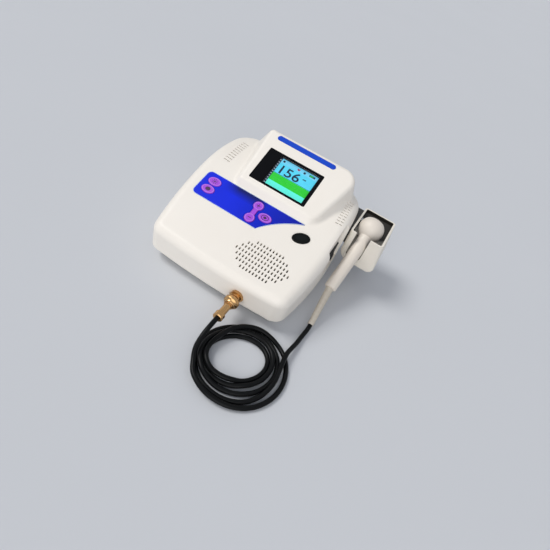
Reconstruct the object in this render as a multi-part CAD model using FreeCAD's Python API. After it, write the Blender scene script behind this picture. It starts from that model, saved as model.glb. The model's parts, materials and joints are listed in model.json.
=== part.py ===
import FreeCAD, Part
import math
import os

# Desktop fetal doppler monitor with a handheld probe, in millimetres.
# While it is modelled, X = 0 is the casing's centre plane, Y runs from the front wall to the back and
# Z = 0 is the surface that the feet stand on. The files are written about the centre of the footprint.

V = FreeCAD.Vector
X_AXIS = V(1, 0, 0)
Y_AXIS = V(0, 1, 0)
Z_AXIS = V(0, 0, 1)

# ---- casing ----
WALL = 2.5                   # moulded wall of both shells
HALF_WIDTH_FRONT = 73.0
HALF_WIDTH_MID = 82.0
HALF_WIDTH_BACK = 75.0
MID_Y = 78.0                 # where the bowed sides are widest
CASE_FRONT_Y = -5.0          # foremost line of the bowed front wall
CASE_DEPTH = 167.0
CASE_BACK_Y = CASE_FRONT_Y + CASE_DEPTH
FRONT_BOW = 3.0
BACK_BOW = 1.5
CORNER_R_FRONT = 13.0
CORNER_R_BACK = 28.0
EDGE_ROLL = 10.0             # rounding between the walls and the top
PARTING_Z = 12.5             # plane where the two shells meet
DECK_Z0 = 38.95              # height of the sloping deck above Y = 0
DECK_SLOPE = 18.87           # degrees
TOP_Z = 77.0                 # flat rear part of the top
DECK_CROWN = 166.7           # radius that joins the deck to the flat top
FLANGE = 2.5                 # inward flange at the rim of the upper shell
FLANGE_WIDTH = 7.5
FOOT_HEIGHT = 2.5
LOWER_INSET = 5.0            # the lower shell stands back under the upper one
LOWER_EDGE_R = 4.0
LIP_CLEARANCE = 0.1
LIP_HEIGHT = 2.2
LIP_THICKNESS = 1.6
LIP_ROOT = 3.0

# ---- display housing, raised from the top of the casing ----
FACE_FRONT_Y = 82.0          # lower edge of the display face
FACE_FRONT_Z = 73.0
FACE_SLOPE = 24.69           # degrees
FACE_LENGTH = 71.9
HOUSING_LEFT_FRONT = -37.0
HOUSING_LEFT_BACK = -42.0
HOUSING_RIGHT_FRONT = 51.0
HOUSING_RIGHT_BACK = 66.0
SKIRT_LEFT = 15.5            # how far the left side spreads over SIDE_DROP
SKIRT_RIGHT = 7.0
SIDE_DROP = 28.0
BACK_LEAN = 5.7
STEP_LEAN = 4.0              # the front step leans by this much over STEP_DROP
STEP_DROP = 7.0
HOUSING_R_BACK_RIGHT = 15.0
HOUSING_R_BACK_LEFT = 5.0
HOUSING_R_FRONT_LEFT = 6.0
HOUSING_R_FRONT_RIGHT = 12.0
HOUSING_EDGE_R = 5.0
HOUSING_ROOT_R = 5.0         # cove where the housing grows out of the casing
HOUSING_FLOOR_Z = 58.0

# ---- display ----
WINDOW_X = 2.0
WINDOW_UP = 26.4             # centre of the window, measured up the face
WINDOW_WIDTH = 63.4
WINDOW_HEIGHT = 41.8
WINDOW_R = 1.2
WINDOW_THICK = 1.3
WINDOW_LEDGE = 2.4
FIT = 0.15                   # assembly clearance round seated trim
MODULE_WIDTH = 60.0
MODULE_HEIGHT = 43.0
MODULE_THICK = 5.5
LIT_WIDTH = 45.2
LIT_HEIGHT = 36.9
LIT_X = 7.1
LCD_BOARD_WIDTH = 73.0
LCD_BOARD_HEIGHT = 44.0
LCD_POST_X = 33.4
LCD_POST_UP = 18.0
BOARD_THICK = 1.6
STRIP_X = 3.4
STRIP_UP = 62.6
STRIP_LENGTH = 68.6
STRIP_WIDTH = 6.0
STRIP_DEPTH = 0.8
STRIP_PROUD = 0.2

# ---- keypad on the deck; "up" is measured along the deck from Y = 0 ----
OVERLAY_THICK = 0.5
OVERLAY_LEFT = -66.8
OVERLAY_LOW = 49.6
OVERLAY_TOP = 81.6
OVERLAY_R = 5.0
OVERLAY_NOTCH_X = 7.4        # where the lower edge starts to curve up to the tip
OVERLAY_TIP_X = 44.0
OVERLAY_TIP_UP = 80.6
OVERLAY_MID_X = 23.7
OVERLAY_MID_UP = 67.8
KEY_HALF_WIDTH = 7.0
KEY_HALF_HEIGHT = 4.9
KEY_PROUD = 0.7
KEY_GAP = 0.25
KEY_FLANGE = 0.9
KEY_FLANGE_HALF = 3.0
KEY_FLANGE_THICK = 1.2
KEY_STEM_R = 1.8
KEY_STEM_END = -5.2
KEY_SITES = {"rear_left_key": (-54.5, 71.9), "front_left_key": (-54.9, 60.9), "right_key": (8.7, 65.0)}
ROCKER_X = -3.8
ROCKER_UP = 65.1
ROCKER_REACH = 8.1
ROCKER_LOBE_R = 5.2
ROCKER_WAIST = 5.0
ROCKER_DEPTH = 4.4
ROCKER_GAP = 0.45
ROCKER_PIVOT_DEPTH = 3.6
ROCKER_PIN_R = 0.8
ROCKER_EAR = 1.2
OVAL_X = 48.7
OVAL_UP = 66.0
OVAL_HALF_LENGTH = 8.8
OVAL_HALF_WIDTH = 5.8
OVAL_TURN = 27.0             # degrees
OVAL_PROUD = 1.2
OVAL_TRAVEL = 1.0
SWITCH_SIDE = 6.0
SWITCH_HEIGHT = 3.2
SWITCH_BUTTON_R = 1.7
SWITCH_GAP = 0.2             # left between a pressed stem and its switch
KEY_BOARD_DEPTH = 10.0
KEY_BOARD = (-64.0, 60.0, 54.0, 78.0)
KEY_POSTS = ((-38.0, 57.5), (-38.0, 74.5), (26.0, 57.5), (26.0, 74.5))
POST_R = 2.5

# ---- loudspeaker behind the grille ----
GRILLE_X = 31.9
GRILLE_UP = 23.9
GRILLE_HALF_WIDTH = 28.4
GRILLE_HALF_HEIGHT = 19.8
SLOT_PITCH_X = 3.44
SLOT_PITCH_UP = 4.9
SLOT_WIDTH = 1.5
SLOT_LENGTH = 3.3
SPEAKER_RIM = 1.2
SPEAKER_OPEN_X = 28.6
SPEAKER_OPEN_UP = 19.4
SPEAKER_RIM_WIDTH = 1.6
BASKET_DEPTH = 10.0
BASKET_THICK = 1.1
BASKET_R = 13.0
MAGNET_R = 14.0
MAGNET_THICK = 8.0
CONE_GAP = 0.4
CONE_THICK = 0.7
SPEAKER_SCREW_X = 22.9
SPEAKER_SCREW_UP = 17.4
SPEAKER_HEAD_R = 3.9

# ---- vents in the top, one block each side of the display housing ----
VENT_COUNT = 10
VENT_PITCH = 3.9
VENT_FIRST_Y = 97.0
VENT_WIDTH = 1.3
VENT_LENGTH = 7.5
VENT_BRIDGE = 0.8            # each row is broken in its middle
VENT_STAGGER = 0.5           # and its outer half lies this much further back
VENT_RIGHT_X = 70.5
VENT_RIGHT_SLANT = -0.06
VENT_LEFT_X = -61.5

# ---- fasteners ----
SCREW_R = 1.5
SCREW_HEAD_R = 2.9
HEAD_THICK = 1.8
SMALL_SCREW_R = 1.0
SMALL_HEAD_R = 1.9
SMALL_HEAD_THICK = 1.3
THREAD_GAP = 0.05
BOSS_R = 4.0
CASE_BOSSES = [(side * x, y) for side in (-1, 1) for x, y in ((63.0, 9.0), (58.0, CASE_BACK_Y - 19.0))]
BOSS_BORE_DEPTH = 12.0
COUNTERBORE = 5.0
FOOT_SITES = [(side * x, y) for side in (-1, 1) for x, y in ((50.0, 20.0), (48.0, CASE_BACK_Y - 20.0))]
FOOT_R = 6.0
FOOT_SEAT = 0.6

# ---- inside ----
BATTERY_X = (-58.0, -2.0)
BATTERY_Y = (CASE_BACK_Y - 68.0, CASE_BACK_Y - 30.0)
BATTERY_HEIGHT = 17.0
BATTERY_WALL = 1.6
BATTERY_GAP = 0.3
BAY_WALL_SHARE = 0.7         # height of the bay's walls over the pack's
COVER_LEDGE = 2.0
COVER_THICK = 1.6
MAIN_BOARD = (-58.0, 58.0, 14.0, BATTERY_Y[0] - 8.0)
MAIN_BOARD_Z = 14.0
MAIN_POST_INSET = 6.0
MAIN_POSTS = ((-51.0, 27.0), (51.0, 34.0), (-51.0, MAIN_BOARD[3] - MAIN_POST_INSET),
              (51.0, MAIN_BOARD[3] - MAIN_POST_INSET))
CAN_X = (-24.0, 8.0)
CAN_Y = (18.0, 42.0)
CAN_HEIGHT = 7.0
CAN_WALL = 0.5

# ---- bayonet socket in the front wall and its plug ----
SOCKET_X = 28.7
SOCKET_Z = 20.0
SOCKET_SEAT_Y = -4.2         # flat spot face on the bowed front wall
SOCKET_PAD_R = 8.0
SOCKET_PAD = 3.0
BARREL_R = 4.7
BARREL_BORE_R = 3.6
BARREL_LENGTH = 11.2
SOCKET_FLANGE = 2.0
SOCKET_FLANGE_R = 6.4
SOCKET_TAIL = 8.0
LUG_R = 1.0
LUG_REACH = 5.6
LUG_BACK = 2.8               # lug centre behind the barrel's mouth
WASHER_THICK = 0.5
WASHER_R = 6.2
NUT_FLATS = 12.0
NUT_THICK = 2.2
COUPLING_R = 7.25
COUPLING_LENGTH = 6.4
COUPLING_TAIL = 3.0
COUPLING_START = 2.4         # behind the panel nut
KNURLS = 20
KNURL_R = 0.55
SLEEVE_R = 3.5
SLEEVE_BORE_R = 2.6
COLLAR_R = 4.2
COLLAR_STAND = 1.2           # the collar shows behind the ring
RUN_GAP = 0.05
PLUG_R = 3.45
PLUG_BARREL = 12.0
CLAMP_R = 4.7
CLAMP_LENGTH = 6.0

# ---- cable ----
CABLE_R = 2.2
COIL_CENTRE = (64.0, -49.0)
COIL_OUTER_R = 43.5
COIL_EYE = (60.5, -48.5)     # the eye is oval and lies off the middle
COIL_EYE_HALF_LENGTH = 25.0
COIL_EYE_HALF_WIDTH = 18.5
COIL_EYE_TURN = 39.0         # degrees
COIL_HEIGHT = 9.0
# The lead drops from the probe's boot to the table and bows a little on its way to the coil:
# share of the way, how far the bow stands to the right, and height of the centreline.
LEAD_DROP = (0.37, -5.3)
LEAD_DROP_Z = 2.31
LEAD_BOW = ((0.27, 0.1, 2.25), (0.56, 0.9, 2.3), (0.785, 0.8, 2.25))
LEAD_END = (93.3, -17.4, 2.35)
# The tail's route starts on the clamp nut, and its first point is worked out with the plug.
TAIL_ROUTE = [(28.7, -45.2, 20.0), (28.2, -56.0, 16.4), (28.9, -66.0, 10.6), (34.0, -74.5, 6.6)]

# ---- probe ----
# These three places are measured from the holder's left front corner.
HEAD_AT = (16.6, 23.0)
HEAD_Z = 61.8
HANDLE_END_AT = (12.3, -45.0)
HANDLE_END_Z = 24.0
RELIEF_END_AT = (14.9, -82.4)
RELIEF_END_Z = 5.0
BULB_R = 13.5
FACE_RISE = 3.0              # crown of the transducer face
FACE_PLANE = 8.2             # seam of the face, ahead of the head's centre
MOUTH_SHARE = 0.62           # radius of the head's mouth over the head's
HANDLE_R_HEAD = 6.7
HANDLE_R_END = 6.2
NECK_R = 9.0
PROBE_WALL = 1.8
FACE_LIP = 2.0
CRYSTAL_R = 7.5
CRYSTAL_THICK = 2.4
CRYSTAL_SPLIT = 1.0
RELIEF_R_START = 3.9
RELIEF_R_END = 3.0
RELIEF_PLUG = 6.0
RELIEF_RINGS = 8
RING_WIDTH = 1.0
RING_DEPTH = 0.35

# ---- holder ----
HOLDER_STAND = 4.59           # mean gap between the casing's side and the holder
HOLDER_WIDTH = 36.0
HOLDER_FRONT = CASE_BACK_Y - 54.0
HOLDER_LENGTH = 52.0
HOLDER_RIM = 65.0
HOLDER_BASE = 27.0
HOLDER_FLARE = 4.0
HOLDER_WALL = 2.0
HOLDER_R_LEFT = 12.0
HOLDER_R_RIGHT = 7.0
HOLDER_CORNER_R = 3.6
SLOT_OFFSET = 6.6            # from the holder's left side
SLOT_WIDTH_X = 15.8
SLOT_FLOOR = 36.0
SLOT_FLOOR_R = 3.0
FLOOR_GAP = 0.3              # between the probe's head and the sloping floor
BRACKET_Y = (HOLDER_FRONT + 3.0, HOLDER_FRONT + 49.0)
BRACKET_Z = (46.0, 62.0)
HOLDER_SCREWS = ((HOLDER_FRONT + 13.0, 52.0), (HOLDER_FRONT + 37.0, 58.0))

# ---- side and rear sockets ----
BAY_FLOOR_X = HALF_WIDTH_MID - 4.5  # back of the notch in the right-hand wall, open at its top
BAY_SPAN_Y = (66.0, 106.0)
BAY_SILL_Z = 30.0
BAY_CORNER_R = 3.0
SWITCH_Y = 91.0
SWITCH_Z = 42.0
FRAME_LENGTH = 23.0
FRAME_HEIGHT = 14.0
FRAME_FLANGE = 1.6
FRAME_BODY = 1.6             # how much smaller the body is than the flange, all round
FRAME_DEPTH = 13.0
FRAME_WALL = 1.2
ROCK_ANGLE = 8.0             # degrees either side of level
ROCK_PIVOT = 1.0             # pivot behind the flange's outer face
ROCK_GAP = 0.6
ROCK_PIN_R = 1.0
JACK_Y = 73.5
JACK_Z = 40.0
JACK_BUSH_R = 3.0
JACK_NUT_R = 4.2
JACK_BORE_R = 1.8
JACK_BODY = 9.0
JACK_DEPTH = 12.0
DC_X = -34.0
DC_Z = 27.0
DC_BUSH_R = 5.0
DC_FLANGE_R = 6.4
DC_BORE_R = 2.75
DC_PIN_R = 1.0
DC_DEPTH = 13.0
PANEL_SEAT = 0.5             # depth of the flat seats cut in the curved walls

CORD_NODES = ("cable_lead", "cable_coil", "cable_tail", "plug_body", "plug_coupling_nut", "plug_clamp_nut")


# ---- small tools ----
def box(low, high):
    return Part.makeBox(high[0] - low[0], high[1] - low[1], high[2] - low[2], V(*low))


def rod(radius, start, direction, length):
    return Part.makeCylinder(radius, length, V(*start), direction)


def tube(outer, inner, start, direction, length):
    return rod(outer, start, direction, length).cut(rod(inner, start, direction, length))


def arc(first, middle, last):
    return Part.Arc(first, middle, last).toShape()


def line(first, last):
    return Part.LineSegment(first, last).toShape()


def prism_of(edges, direction):
    return Part.Face(Part.Wire(edges)).extrude(direction)


def polygon(points):
    return [line(a, b) for a, b in zip(points, points[1:] + points[:1])]


def fused(shapes):
    return shapes[0].multiFuse(shapes[1:]).removeSplitter()


def is_upright(edge):
    bound = edge.BoundBox
    return bound.XLength < 0.01 and bound.YLength < 0.01


def tilted(angle, origin):
    """A frame whose X is the part's X and whose XY plane is tipped up by the angle."""
    return FreeCAD.Placement(origin, FreeCAD.Rotation(X_AXIS, angle))


def placed(shape, frame):
    return shape.transformed(frame.toMatrix())


DECK = tilted(DECK_SLOPE, V(0, 0, DECK_Z0))
FACE = tilted(FACE_SLOPE, V(0, FACE_FRONT_Y, FACE_FRONT_Z))


def ellipse(half_x, half_y, centre, z, turn=0.0):
    """An oval edge in the plane at height z; its longer half goes along X before the turn."""
    curve = Part.Ellipse(V(0, 0, 0), half_x, half_y).toShape()
    curve.rotate(V(0, 0, 0), Z_AXIS, turn)
    curve.translate(V(centre[0], centre[1], z))
    return curve


def oval(half_x, half_y, centre, low, high, turn=0.0):
    return prism_of([ellipse(half_x, half_y, centre, low, turn)], V(0, 0, high - low))


def stadium(half_length, radius, centre, low, high):
    """A round-ended bar along X."""
    x, y = centre
    left = x - half_length + radius
    right = x + half_length - radius
    edges = [line(V(left, y - radius, low), V(right, y - radius, low)),
             arc(V(right, y - radius, low), V(right + radius, y, low), V(right, y + radius, low)),
             line(V(right, y + radius, low), V(left, y + radius, low)),
             arc(V(left, y + radius, low), V(left - radius, y, low), V(left, y - radius, low))]
    return prism_of(edges, V(0, 0, high - low))


def rounded_plate(width, height, radius, centre, low, high):
    x, y = centre
    plate = box((x - width / 2, y - height / 2, low), (x + width / 2, y + height / 2, high))
    return plate.makeFillet(radius, [edge for edge in plate.Edges if is_upright(edge)])


def screw(radius, head_r, head_thick, seat, direction, length):
    """A pan-head screw: the head stands on the seat, the shank goes along the direction."""
    head = rod(head_r, seat, direction * -1, head_thick)
    rim = [edge for edge in head.Edges if (edge.CenterOfMass - V(*seat)).Length > head_thick / 2]
    head = head.makeChamfer(head_thick * 0.3, [edge for edge in rim if edge.Closed])
    return head.fuse(rod(radius, seat, direction, length)).removeSplitter()


# ---- casing forms ----
def plan_prism(inset, low, high):
    """The casing's plan outline, drawn in by the inset, as an upright block."""
    front_y = CASE_FRONT_Y + inset
    back_y = CASE_BACK_Y - inset
    front_left = V(inset - HALF_WIDTH_FRONT, front_y + FRONT_BOW, low)
    front_right = V(HALF_WIDTH_FRONT - inset, front_y + FRONT_BOW, low)
    back_left = V(inset - HALF_WIDTH_BACK, back_y - BACK_BOW, low)
    back_right = V(HALF_WIDTH_BACK - inset, back_y - BACK_BOW, low)
    outline = [arc(front_left, V(0, front_y, low), front_right),
               arc(front_right, V(HALF_WIDTH_MID - inset, MID_Y, low), back_right),
               arc(back_right, V(0, back_y, low), back_left),
               arc(back_left, V(inset - HALF_WIDTH_MID, MID_Y, low), front_left)]
    block = prism_of(outline, V(0, 0, high - low))
    for at_front, radius in ((True, CORNER_R_FRONT), (False, CORNER_R_BACK)):
        corners = [edge for edge in block.Edges
                   if is_upright(edge) and (edge.BoundBox.YMin < MID_Y) == at_front]
        block = block.makeFillet(radius - inset, corners)
    return block


def under_top(inset):
    """Everything below the top surface: sloping deck, crown and flat rear, drawn in by the inset."""
    slope = math.radians(DECK_SLOPE)
    radius = DECK_CROWN - inset
    crown_y = (TOP_Z - DECK_Z0) / math.tan(slope) + DECK_CROWN * math.tan(slope / 2)
    crown_z = TOP_Z - DECK_CROWN
    side = -2 * HALF_WIDTH_MID

    def crown(angle):
        return V(side, crown_y - radius * math.sin(angle), crown_z + radius * math.cos(angle))

    ahead = CASE_FRONT_Y - 2 * EDGE_ROLL
    behind = CASE_BACK_Y + EDGE_ROLL
    lower_end = crown(slope)
    deck_start = V(side, ahead, lower_end.z - (lower_end.y - ahead) * math.tan(slope))
    edges = [line(deck_start, lower_end),
             arc(lower_end, crown(slope / 2), crown(0)),
             line(crown(0), V(side, behind, TOP_Z - inset)),
             line(V(side, behind, TOP_Z - inset), V(side, behind, 0)),
             line(V(side, behind, 0), V(side, ahead, 0)),
             line(V(side, ahead, 0), deck_start)]
    return prism_of(edges, V(-2 * side, 0, 0))


def case_block(inset, low):
    """The casing without its display housing; the top edges are rolled into the walls."""
    block = plan_prism(inset, low, TOP_Z + EDGE_ROLL).common(under_top(inset))
    rim = [edge for edge in block.Edges
           if edge.BoundBox.ZMin > low + 1 and not is_upright(edge)
           and edge.Curve.TypeId != "Part::GeomLine"]
    return block.makeFillet(EDGE_ROLL - inset, rim)


def half_space(point, normal, inset):
    size = 3 * CASE_DEPTH
    block = Part.makeBox(size, size, size, V(-size / 2, -size / 2, -size))
    outward = V(normal).normalize()
    return placed(block, FreeCAD.Placement(point - outward * inset, FreeCAD.Rotation(Z_AXIS, outward)))


def display_block(inset):
    """The display housing: a wedge cut by its face, step, back and two flared sides, then rounded."""
    slope = math.radians(FACE_SLOPE)
    back_y = FACE_FRONT_Y + FACE_LENGTH * math.cos(slope)
    back_z = FACE_FRONT_Z + FACE_LENGTH * math.sin(slope)
    front = V(0, FACE_FRONT_Y, FACE_FRONT_Z)
    back = V(0, back_y, back_z)

    def side(front_x, back_x, skirt):
        first = V(front_x, FACE_FRONT_Y, FACE_FRONT_Z)
        second = V(back_x, back_y, back_z)
        third = V(back_x + skirt, back_y + BACK_LEAN, back_z - SIDE_DROP)
        normal = (second - first).cross(third - first)
        if normal.x * skirt < 0:
            normal = normal * -1
        return half_space(first, normal, inset)

    block = box((-CASE_DEPTH, -CASE_DEPTH, HOUSING_FLOOR_Z), (CASE_DEPTH, 2 * CASE_DEPTH, 2 * TOP_Z))
    block = block.common(half_space(front, V(0, -math.sin(slope), math.cos(slope)), inset))
    block = block.common(half_space(front, V(0, -STEP_DROP, STEP_LEAN), inset))
    block = block.common(half_space(back, V(0, SIDE_DROP, BACK_LEAN), inset))
    block = block.common(side(HOUSING_LEFT_FRONT, HOUSING_LEFT_BACK, -SKIRT_LEFT))
    block = block.common(side(HOUSING_RIGHT_FRONT, HOUSING_RIGHT_BACK, SKIRT_RIGHT))

    corners = ((True, True, HOUSING_R_BACK_RIGHT), (True, False, HOUSING_R_BACK_LEFT),
               (False, False, HOUSING_R_FRONT_LEFT), (False, True, HOUSING_R_FRONT_RIGHT))
    middle_y = (FACE_FRONT_Y + back_y) / 2
    for at_back, at_right, radius in corners:
        edges = [edge for edge in block.Edges
                 if edge.BoundBox.ZMin < HOUSING_FLOOR_Z + 1 and edge.BoundBox.ZMax > FACE_FRONT_Z - 2 * WALL
                 and (edge.CenterOfMass.y > middle_y) == at_back
                 and (edge.CenterOfMass.x > WINDOW_X) == at_right]
        block = block.makeFillet(radius - inset, edges)
    rim = [edge for edge in block.Edges if edge.BoundBox.ZMin > FACE_FRONT_Z - 2 * WALL]
    return block.makeFillet(HOUSING_EDGE_R - inset, rim)


def lies_on(face, shell):
    """True where an inner point of the face lies on the shell."""
    low_u, high_u, low_v, high_v = face.ParameterRange
    for share_u in (0.5, 0.3, 0.7, 0.1, 0.9):
        for share_v in (0.5, 0.3, 0.7, 0.1, 0.9):
            u = low_u + share_u * (high_u - low_u)
            v = low_v + share_v * (high_v - low_v)
            if face.isPartOfDomain(u, v):
                return Part.Vertex(face.valueAt(u, v)).distToShape(shell)[0] < 0.001
    return False


def case_form():
    """The whole outer form: the casing and the display housing joined by a cove."""
    base = case_block(0, PARTING_Z)
    form = fused([base, display_block(0)])
    seam = []
    for edge in form.Edges:
        faces = form.ancestorsOfType(edge, Part.Face)
        if edge.BoundBox.ZMin > HOUSING_FLOOR_Z and len(faces) == 2:
            if lies_on(faces[0], base.Shells[0]) != lies_on(faces[1], base.Shells[0]):
                seam.append(edge)
    return form.makeFillet(HOUSING_ROOT_R, seam)


def case_cavity():
    return fused([case_block(WALL, PARTING_Z + FLANGE), display_block(WALL)])


# ---- keypad outlines, in the deck's own plane ----
def overlay_block(grow, low, high):
    left = OVERLAY_LEFT - grow
    bottom = OVERLAY_LOW - grow
    top = OVERLAY_TOP + grow
    radius = OVERLAY_R + grow
    slant = radius * (1 - math.sqrt(0.5))
    notch = V(OVERLAY_NOTCH_X, bottom, low)
    tip = V(OVERLAY_TIP_X + 2 * grow, OVERLAY_TIP_UP - grow, low)
    tip_top = V(OVERLAY_TIP_X + 2 * grow, top, low)
    edges = [line(V(left + radius, bottom, low), notch),
             arc(notch, V(OVERLAY_MID_X + grow, OVERLAY_MID_UP - grow, low), tip),
             line(tip, tip_top),
             line(tip_top, V(left + radius, top, low)),
             arc(V(left + radius, top, low), V(left + slant, top - slant, low), V(left, top - radius, low)),
             line(V(left, top - radius, low), V(left, bottom + radius, low)),
             arc(V(left, bottom + radius, low), V(left + slant, bottom + slant, low),
                 V(left + radius, bottom, low))]
    return prism_of(edges, V(0, 0, high - low))


def rocker_block(grow, low, high):
    """A dumbbell: two round lobes joined by a waist."""
    lobes = [rod(ROCKER_LOBE_R + grow, (ROCKER_X, ROCKER_UP + side * ROCKER_REACH, low), Z_AXIS, high - low)
             for side in (-1, 1)]
    waist = box((ROCKER_X - ROCKER_WAIST / 2 - grow, ROCKER_UP - ROCKER_REACH, low),
                (ROCKER_X + ROCKER_WAIST / 2 + grow, ROCKER_UP + ROCKER_REACH, high))
    return fused([waist] + lobes)


def key_block(site, grow, low, high):
    return oval(KEY_HALF_WIDTH + grow, KEY_HALF_HEIGHT + grow, site, low, high)


def oval_block(grow, low, high):
    return oval(OVAL_HALF_LENGTH + grow, OVAL_HALF_WIDTH + grow, (OVAL_X, OVAL_UP), low, high, OVAL_TURN)


# ---- upper shell ----
def grille_slots():
    """Slots on a square grid, kept where the whole slot lies inside the oval field."""
    slots = []
    columns = int(GRILLE_HALF_WIDTH / SLOT_PITCH_X)
    rows = int(GRILLE_HALF_HEIGHT / SLOT_PITCH_UP)
    half = SLOT_LENGTH / 2
    side = SLOT_WIDTH / 2
    bevel = SLOT_WIDTH * 0.3
    for column in range(-columns, columns + 1):
        for row in range(-rows, rows + 1):
            dx = column * SLOT_PITCH_X
            up = row * SLOT_PITCH_UP
            reach = (abs(dx) / GRILLE_HALF_WIDTH) ** 2 + ((abs(up) + half) / GRILLE_HALF_HEIGHT) ** 2
            if reach > 1:
                continue
            x = GRILLE_X + dx
            y = GRILLE_UP + up
            outline = [(side, half - bevel), (side - bevel, half), (bevel - side, half),
                       (-side, half - bevel), (-side, bevel - half), (bevel - side, -half),
                       (side - bevel, -half), (side, bevel - half)]
            points = [V(x + px, y + py, -2 * WALL) for px, py in outline]
            slots.append(prism_of(polygon(points), V(0, 0, 3 * WALL)))
    return [placed(slot, DECK) for slot in slots]


def vent_slots():
    """Two blocks of slots across the top; each row is broken in its middle and slightly staggered."""
    slots = []
    half = (VENT_LENGTH - VENT_BRIDGE) / 2
    for index in range(VENT_COUNT):
        y = VENT_FIRST_Y + index * VENT_PITCH
        right = VENT_RIGHT_X + VENT_RIGHT_SLANT * (y - VENT_FIRST_Y)
        for row_x, outward in ((right, 1), (VENT_LEFT_X, -1)):
            for side in (-1, 1):
                x = row_x + side * outward * (half + VENT_BRIDGE) / 2
                back = y + max(side, 0) * VENT_STAGGER
                slots.append(box((x - half / 2, back - VENT_WIDTH / 2, TOP_Z - 4 * WALL - EDGE_ROLL),
                                 (x + half / 2, back + VENT_WIDTH / 2, TOP_Z + WALL)))
    return slots


def window_opening():
    centre = (WINDOW_X, WINDOW_UP)
    rebate = rounded_plate(WINDOW_WIDTH + 2 * FIT, WINDOW_HEIGHT + 2 * FIT, WINDOW_R + FIT, centre,
                           -WINDOW_THICK, WALL)
    opening = rounded_plate(WINDOW_WIDTH - 2 * WINDOW_LEDGE, WINDOW_HEIGHT - 2 * WINDOW_LEDGE, WINDOW_R,
                            centre, -2 * WALL, WALL)
    strip = stadium(STRIP_LENGTH / 2 + FIT, STRIP_WIDTH / 2 + FIT, (STRIP_X, STRIP_UP), -STRIP_DEPTH, WALL)
    return [placed(cutter, FACE) for cutter in (rebate, opening, strip)]


def keypad_openings():
    through = (-2 * WALL, WALL)
    cutters = [overlay_block(FIT, -OVERLAY_THICK, WALL), rocker_block(ROCKER_GAP, *through),
               oval_block(KEY_GAP, *through)]
    cutters += [key_block(site, KEY_GAP, *through) for site in KEY_SITES.values()]
    return [placed(cutter, DECK) for cutter in cutters]


def rocker_ears():
    """Two lugs under the deck that carry the rocker key's trunnions."""
    ears = []
    for side in (-1, 1):
        middle = ROCKER_X + side * (ROCKER_WAIST / 2 + ROCKER_GAP + ROCKER_EAR / 2)
        low = -ROCKER_PIVOT_DEPTH - 2 * ROCKER_PIN_R
        ear = box((middle - ROCKER_EAR / 2, ROCKER_UP - 2 * ROCKER_PIN_R, low),
                  (middle + ROCKER_EAR / 2, ROCKER_UP + 2 * ROCKER_PIN_R, -WALL))
        hole = rod(ROCKER_PIN_R + RUN_GAP, (middle - ROCKER_EAR, ROCKER_UP, -ROCKER_PIVOT_DEPTH), X_AXIS,
                   2 * ROCKER_EAR)
        ears.append(placed(ear.cut(hole), DECK))
    return ears


def post(site, top, bottom, radius, bore):
    """A screw post, hollow from its lower end."""
    outer = rod(radius, (site[0], site[1], bottom), Z_AXIS, top - bottom)
    inner = rod(bore, (site[0], site[1], bottom), Z_AXIS, (top - bottom) * 0.85)
    return outer.cut(inner)


def deck_posts():
    posts = [post(site, -WALL, -KEY_BOARD_DEPTH, POST_R, SMALL_SCREW_R + THREAD_GAP) for site in KEY_POSTS]
    posts += [post(site, -WALL, -WALL - SPEAKER_RIM, POST_R, SMALL_SCREW_R + THREAD_GAP)
              for site in speaker_sites()]
    return [placed(each, DECK) for each in posts]


def lcd_sites():
    return [(WINDOW_X + across * LCD_POST_X, WINDOW_UP + up * LCD_POST_UP)
            for across in (-1, 1) for up in (-1, 1)]


def face_posts():
    depth = WALL + MODULE_THICK
    return [placed(post(site, -WALL, -depth, POST_R, SMALL_SCREW_R + THREAD_GAP), FACE)
            for site in lcd_sites()]


def case_boss(site, form):
    column = rod(BOSS_R, (site[0], site[1], PARTING_Z), Z_AXIS, TOP_Z).common(form)
    return column.cut(rod(SCREW_R + THREAD_GAP, (site[0], site[1], PARTING_Z), Z_AXIS, BOSS_BORE_DEPTH))


def wall_x(y):
    """Where the right-hand wall's outer face lies at this depth, on the circle through its three points."""
    front = V(HALF_WIDTH_FRONT, CASE_FRONT_Y + FRONT_BOW, 0)
    back = V(HALF_WIDTH_BACK, CASE_BACK_Y - BACK_BOW, 0)
    circle = arc(front, V(HALF_WIDTH_MID, MID_Y, 0), back).Curve
    return circle.Center.x + math.sqrt(circle.Radius ** 2 - (y - circle.Center.y) ** 2)


def back_y(x):
    """Where the back wall's outer face lies at this distance from the centre plane."""
    circle = arc(V(-HALF_WIDTH_BACK, CASE_BACK_Y - BACK_BOW, 0), V(0, CASE_BACK_Y, 0),
                 V(HALF_WIDTH_BACK, CASE_BACK_Y - BACK_BOW, 0)).Curve
    return circle.Center.y + math.sqrt(circle.Radius ** 2 - x ** 2)


HOLDER_LEFT = sum(wall_x(y) for y in BRACKET_Y) / 2 + HOLDER_STAND
HEAD_CENTRE = (HOLDER_LEFT + HEAD_AT[0], HOLDER_FRONT + HEAD_AT[1], HEAD_Z)
HANDLE_END = (HOLDER_LEFT + HANDLE_END_AT[0], HOLDER_FRONT + HANDLE_END_AT[1], HANDLE_END_Z)
RELIEF_END = (HOLDER_LEFT + RELIEF_END_AT[0], HOLDER_FRONT + RELIEF_END_AT[1], RELIEF_END_Z)
SWITCH_SEAT_X = BAY_FLOOR_X
JACK_SEAT_X = BAY_FLOOR_X
DC_SEAT_Y = back_y(DC_X) - PANEL_SEAT


def side_bay(grow):
    """The notch in the right-hand wall that holds the switch and the earphone jack."""
    bay = box((BAY_FLOOR_X - grow, BAY_SPAN_Y[0] - grow, BAY_SILL_Z - grow),
              (BAY_FLOOR_X + 4 * WALL, BAY_SPAN_Y[1] + grow, TOP_Z + WALL))
    corners = [edge for edge in bay.Edges if edge.BoundBox.XMax < BAY_FLOOR_X + 0.01
               and edge.BoundBox.ZMin < TOP_Z]
    return bay.makeFillet(BAY_CORNER_R + grow, corners)


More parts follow.
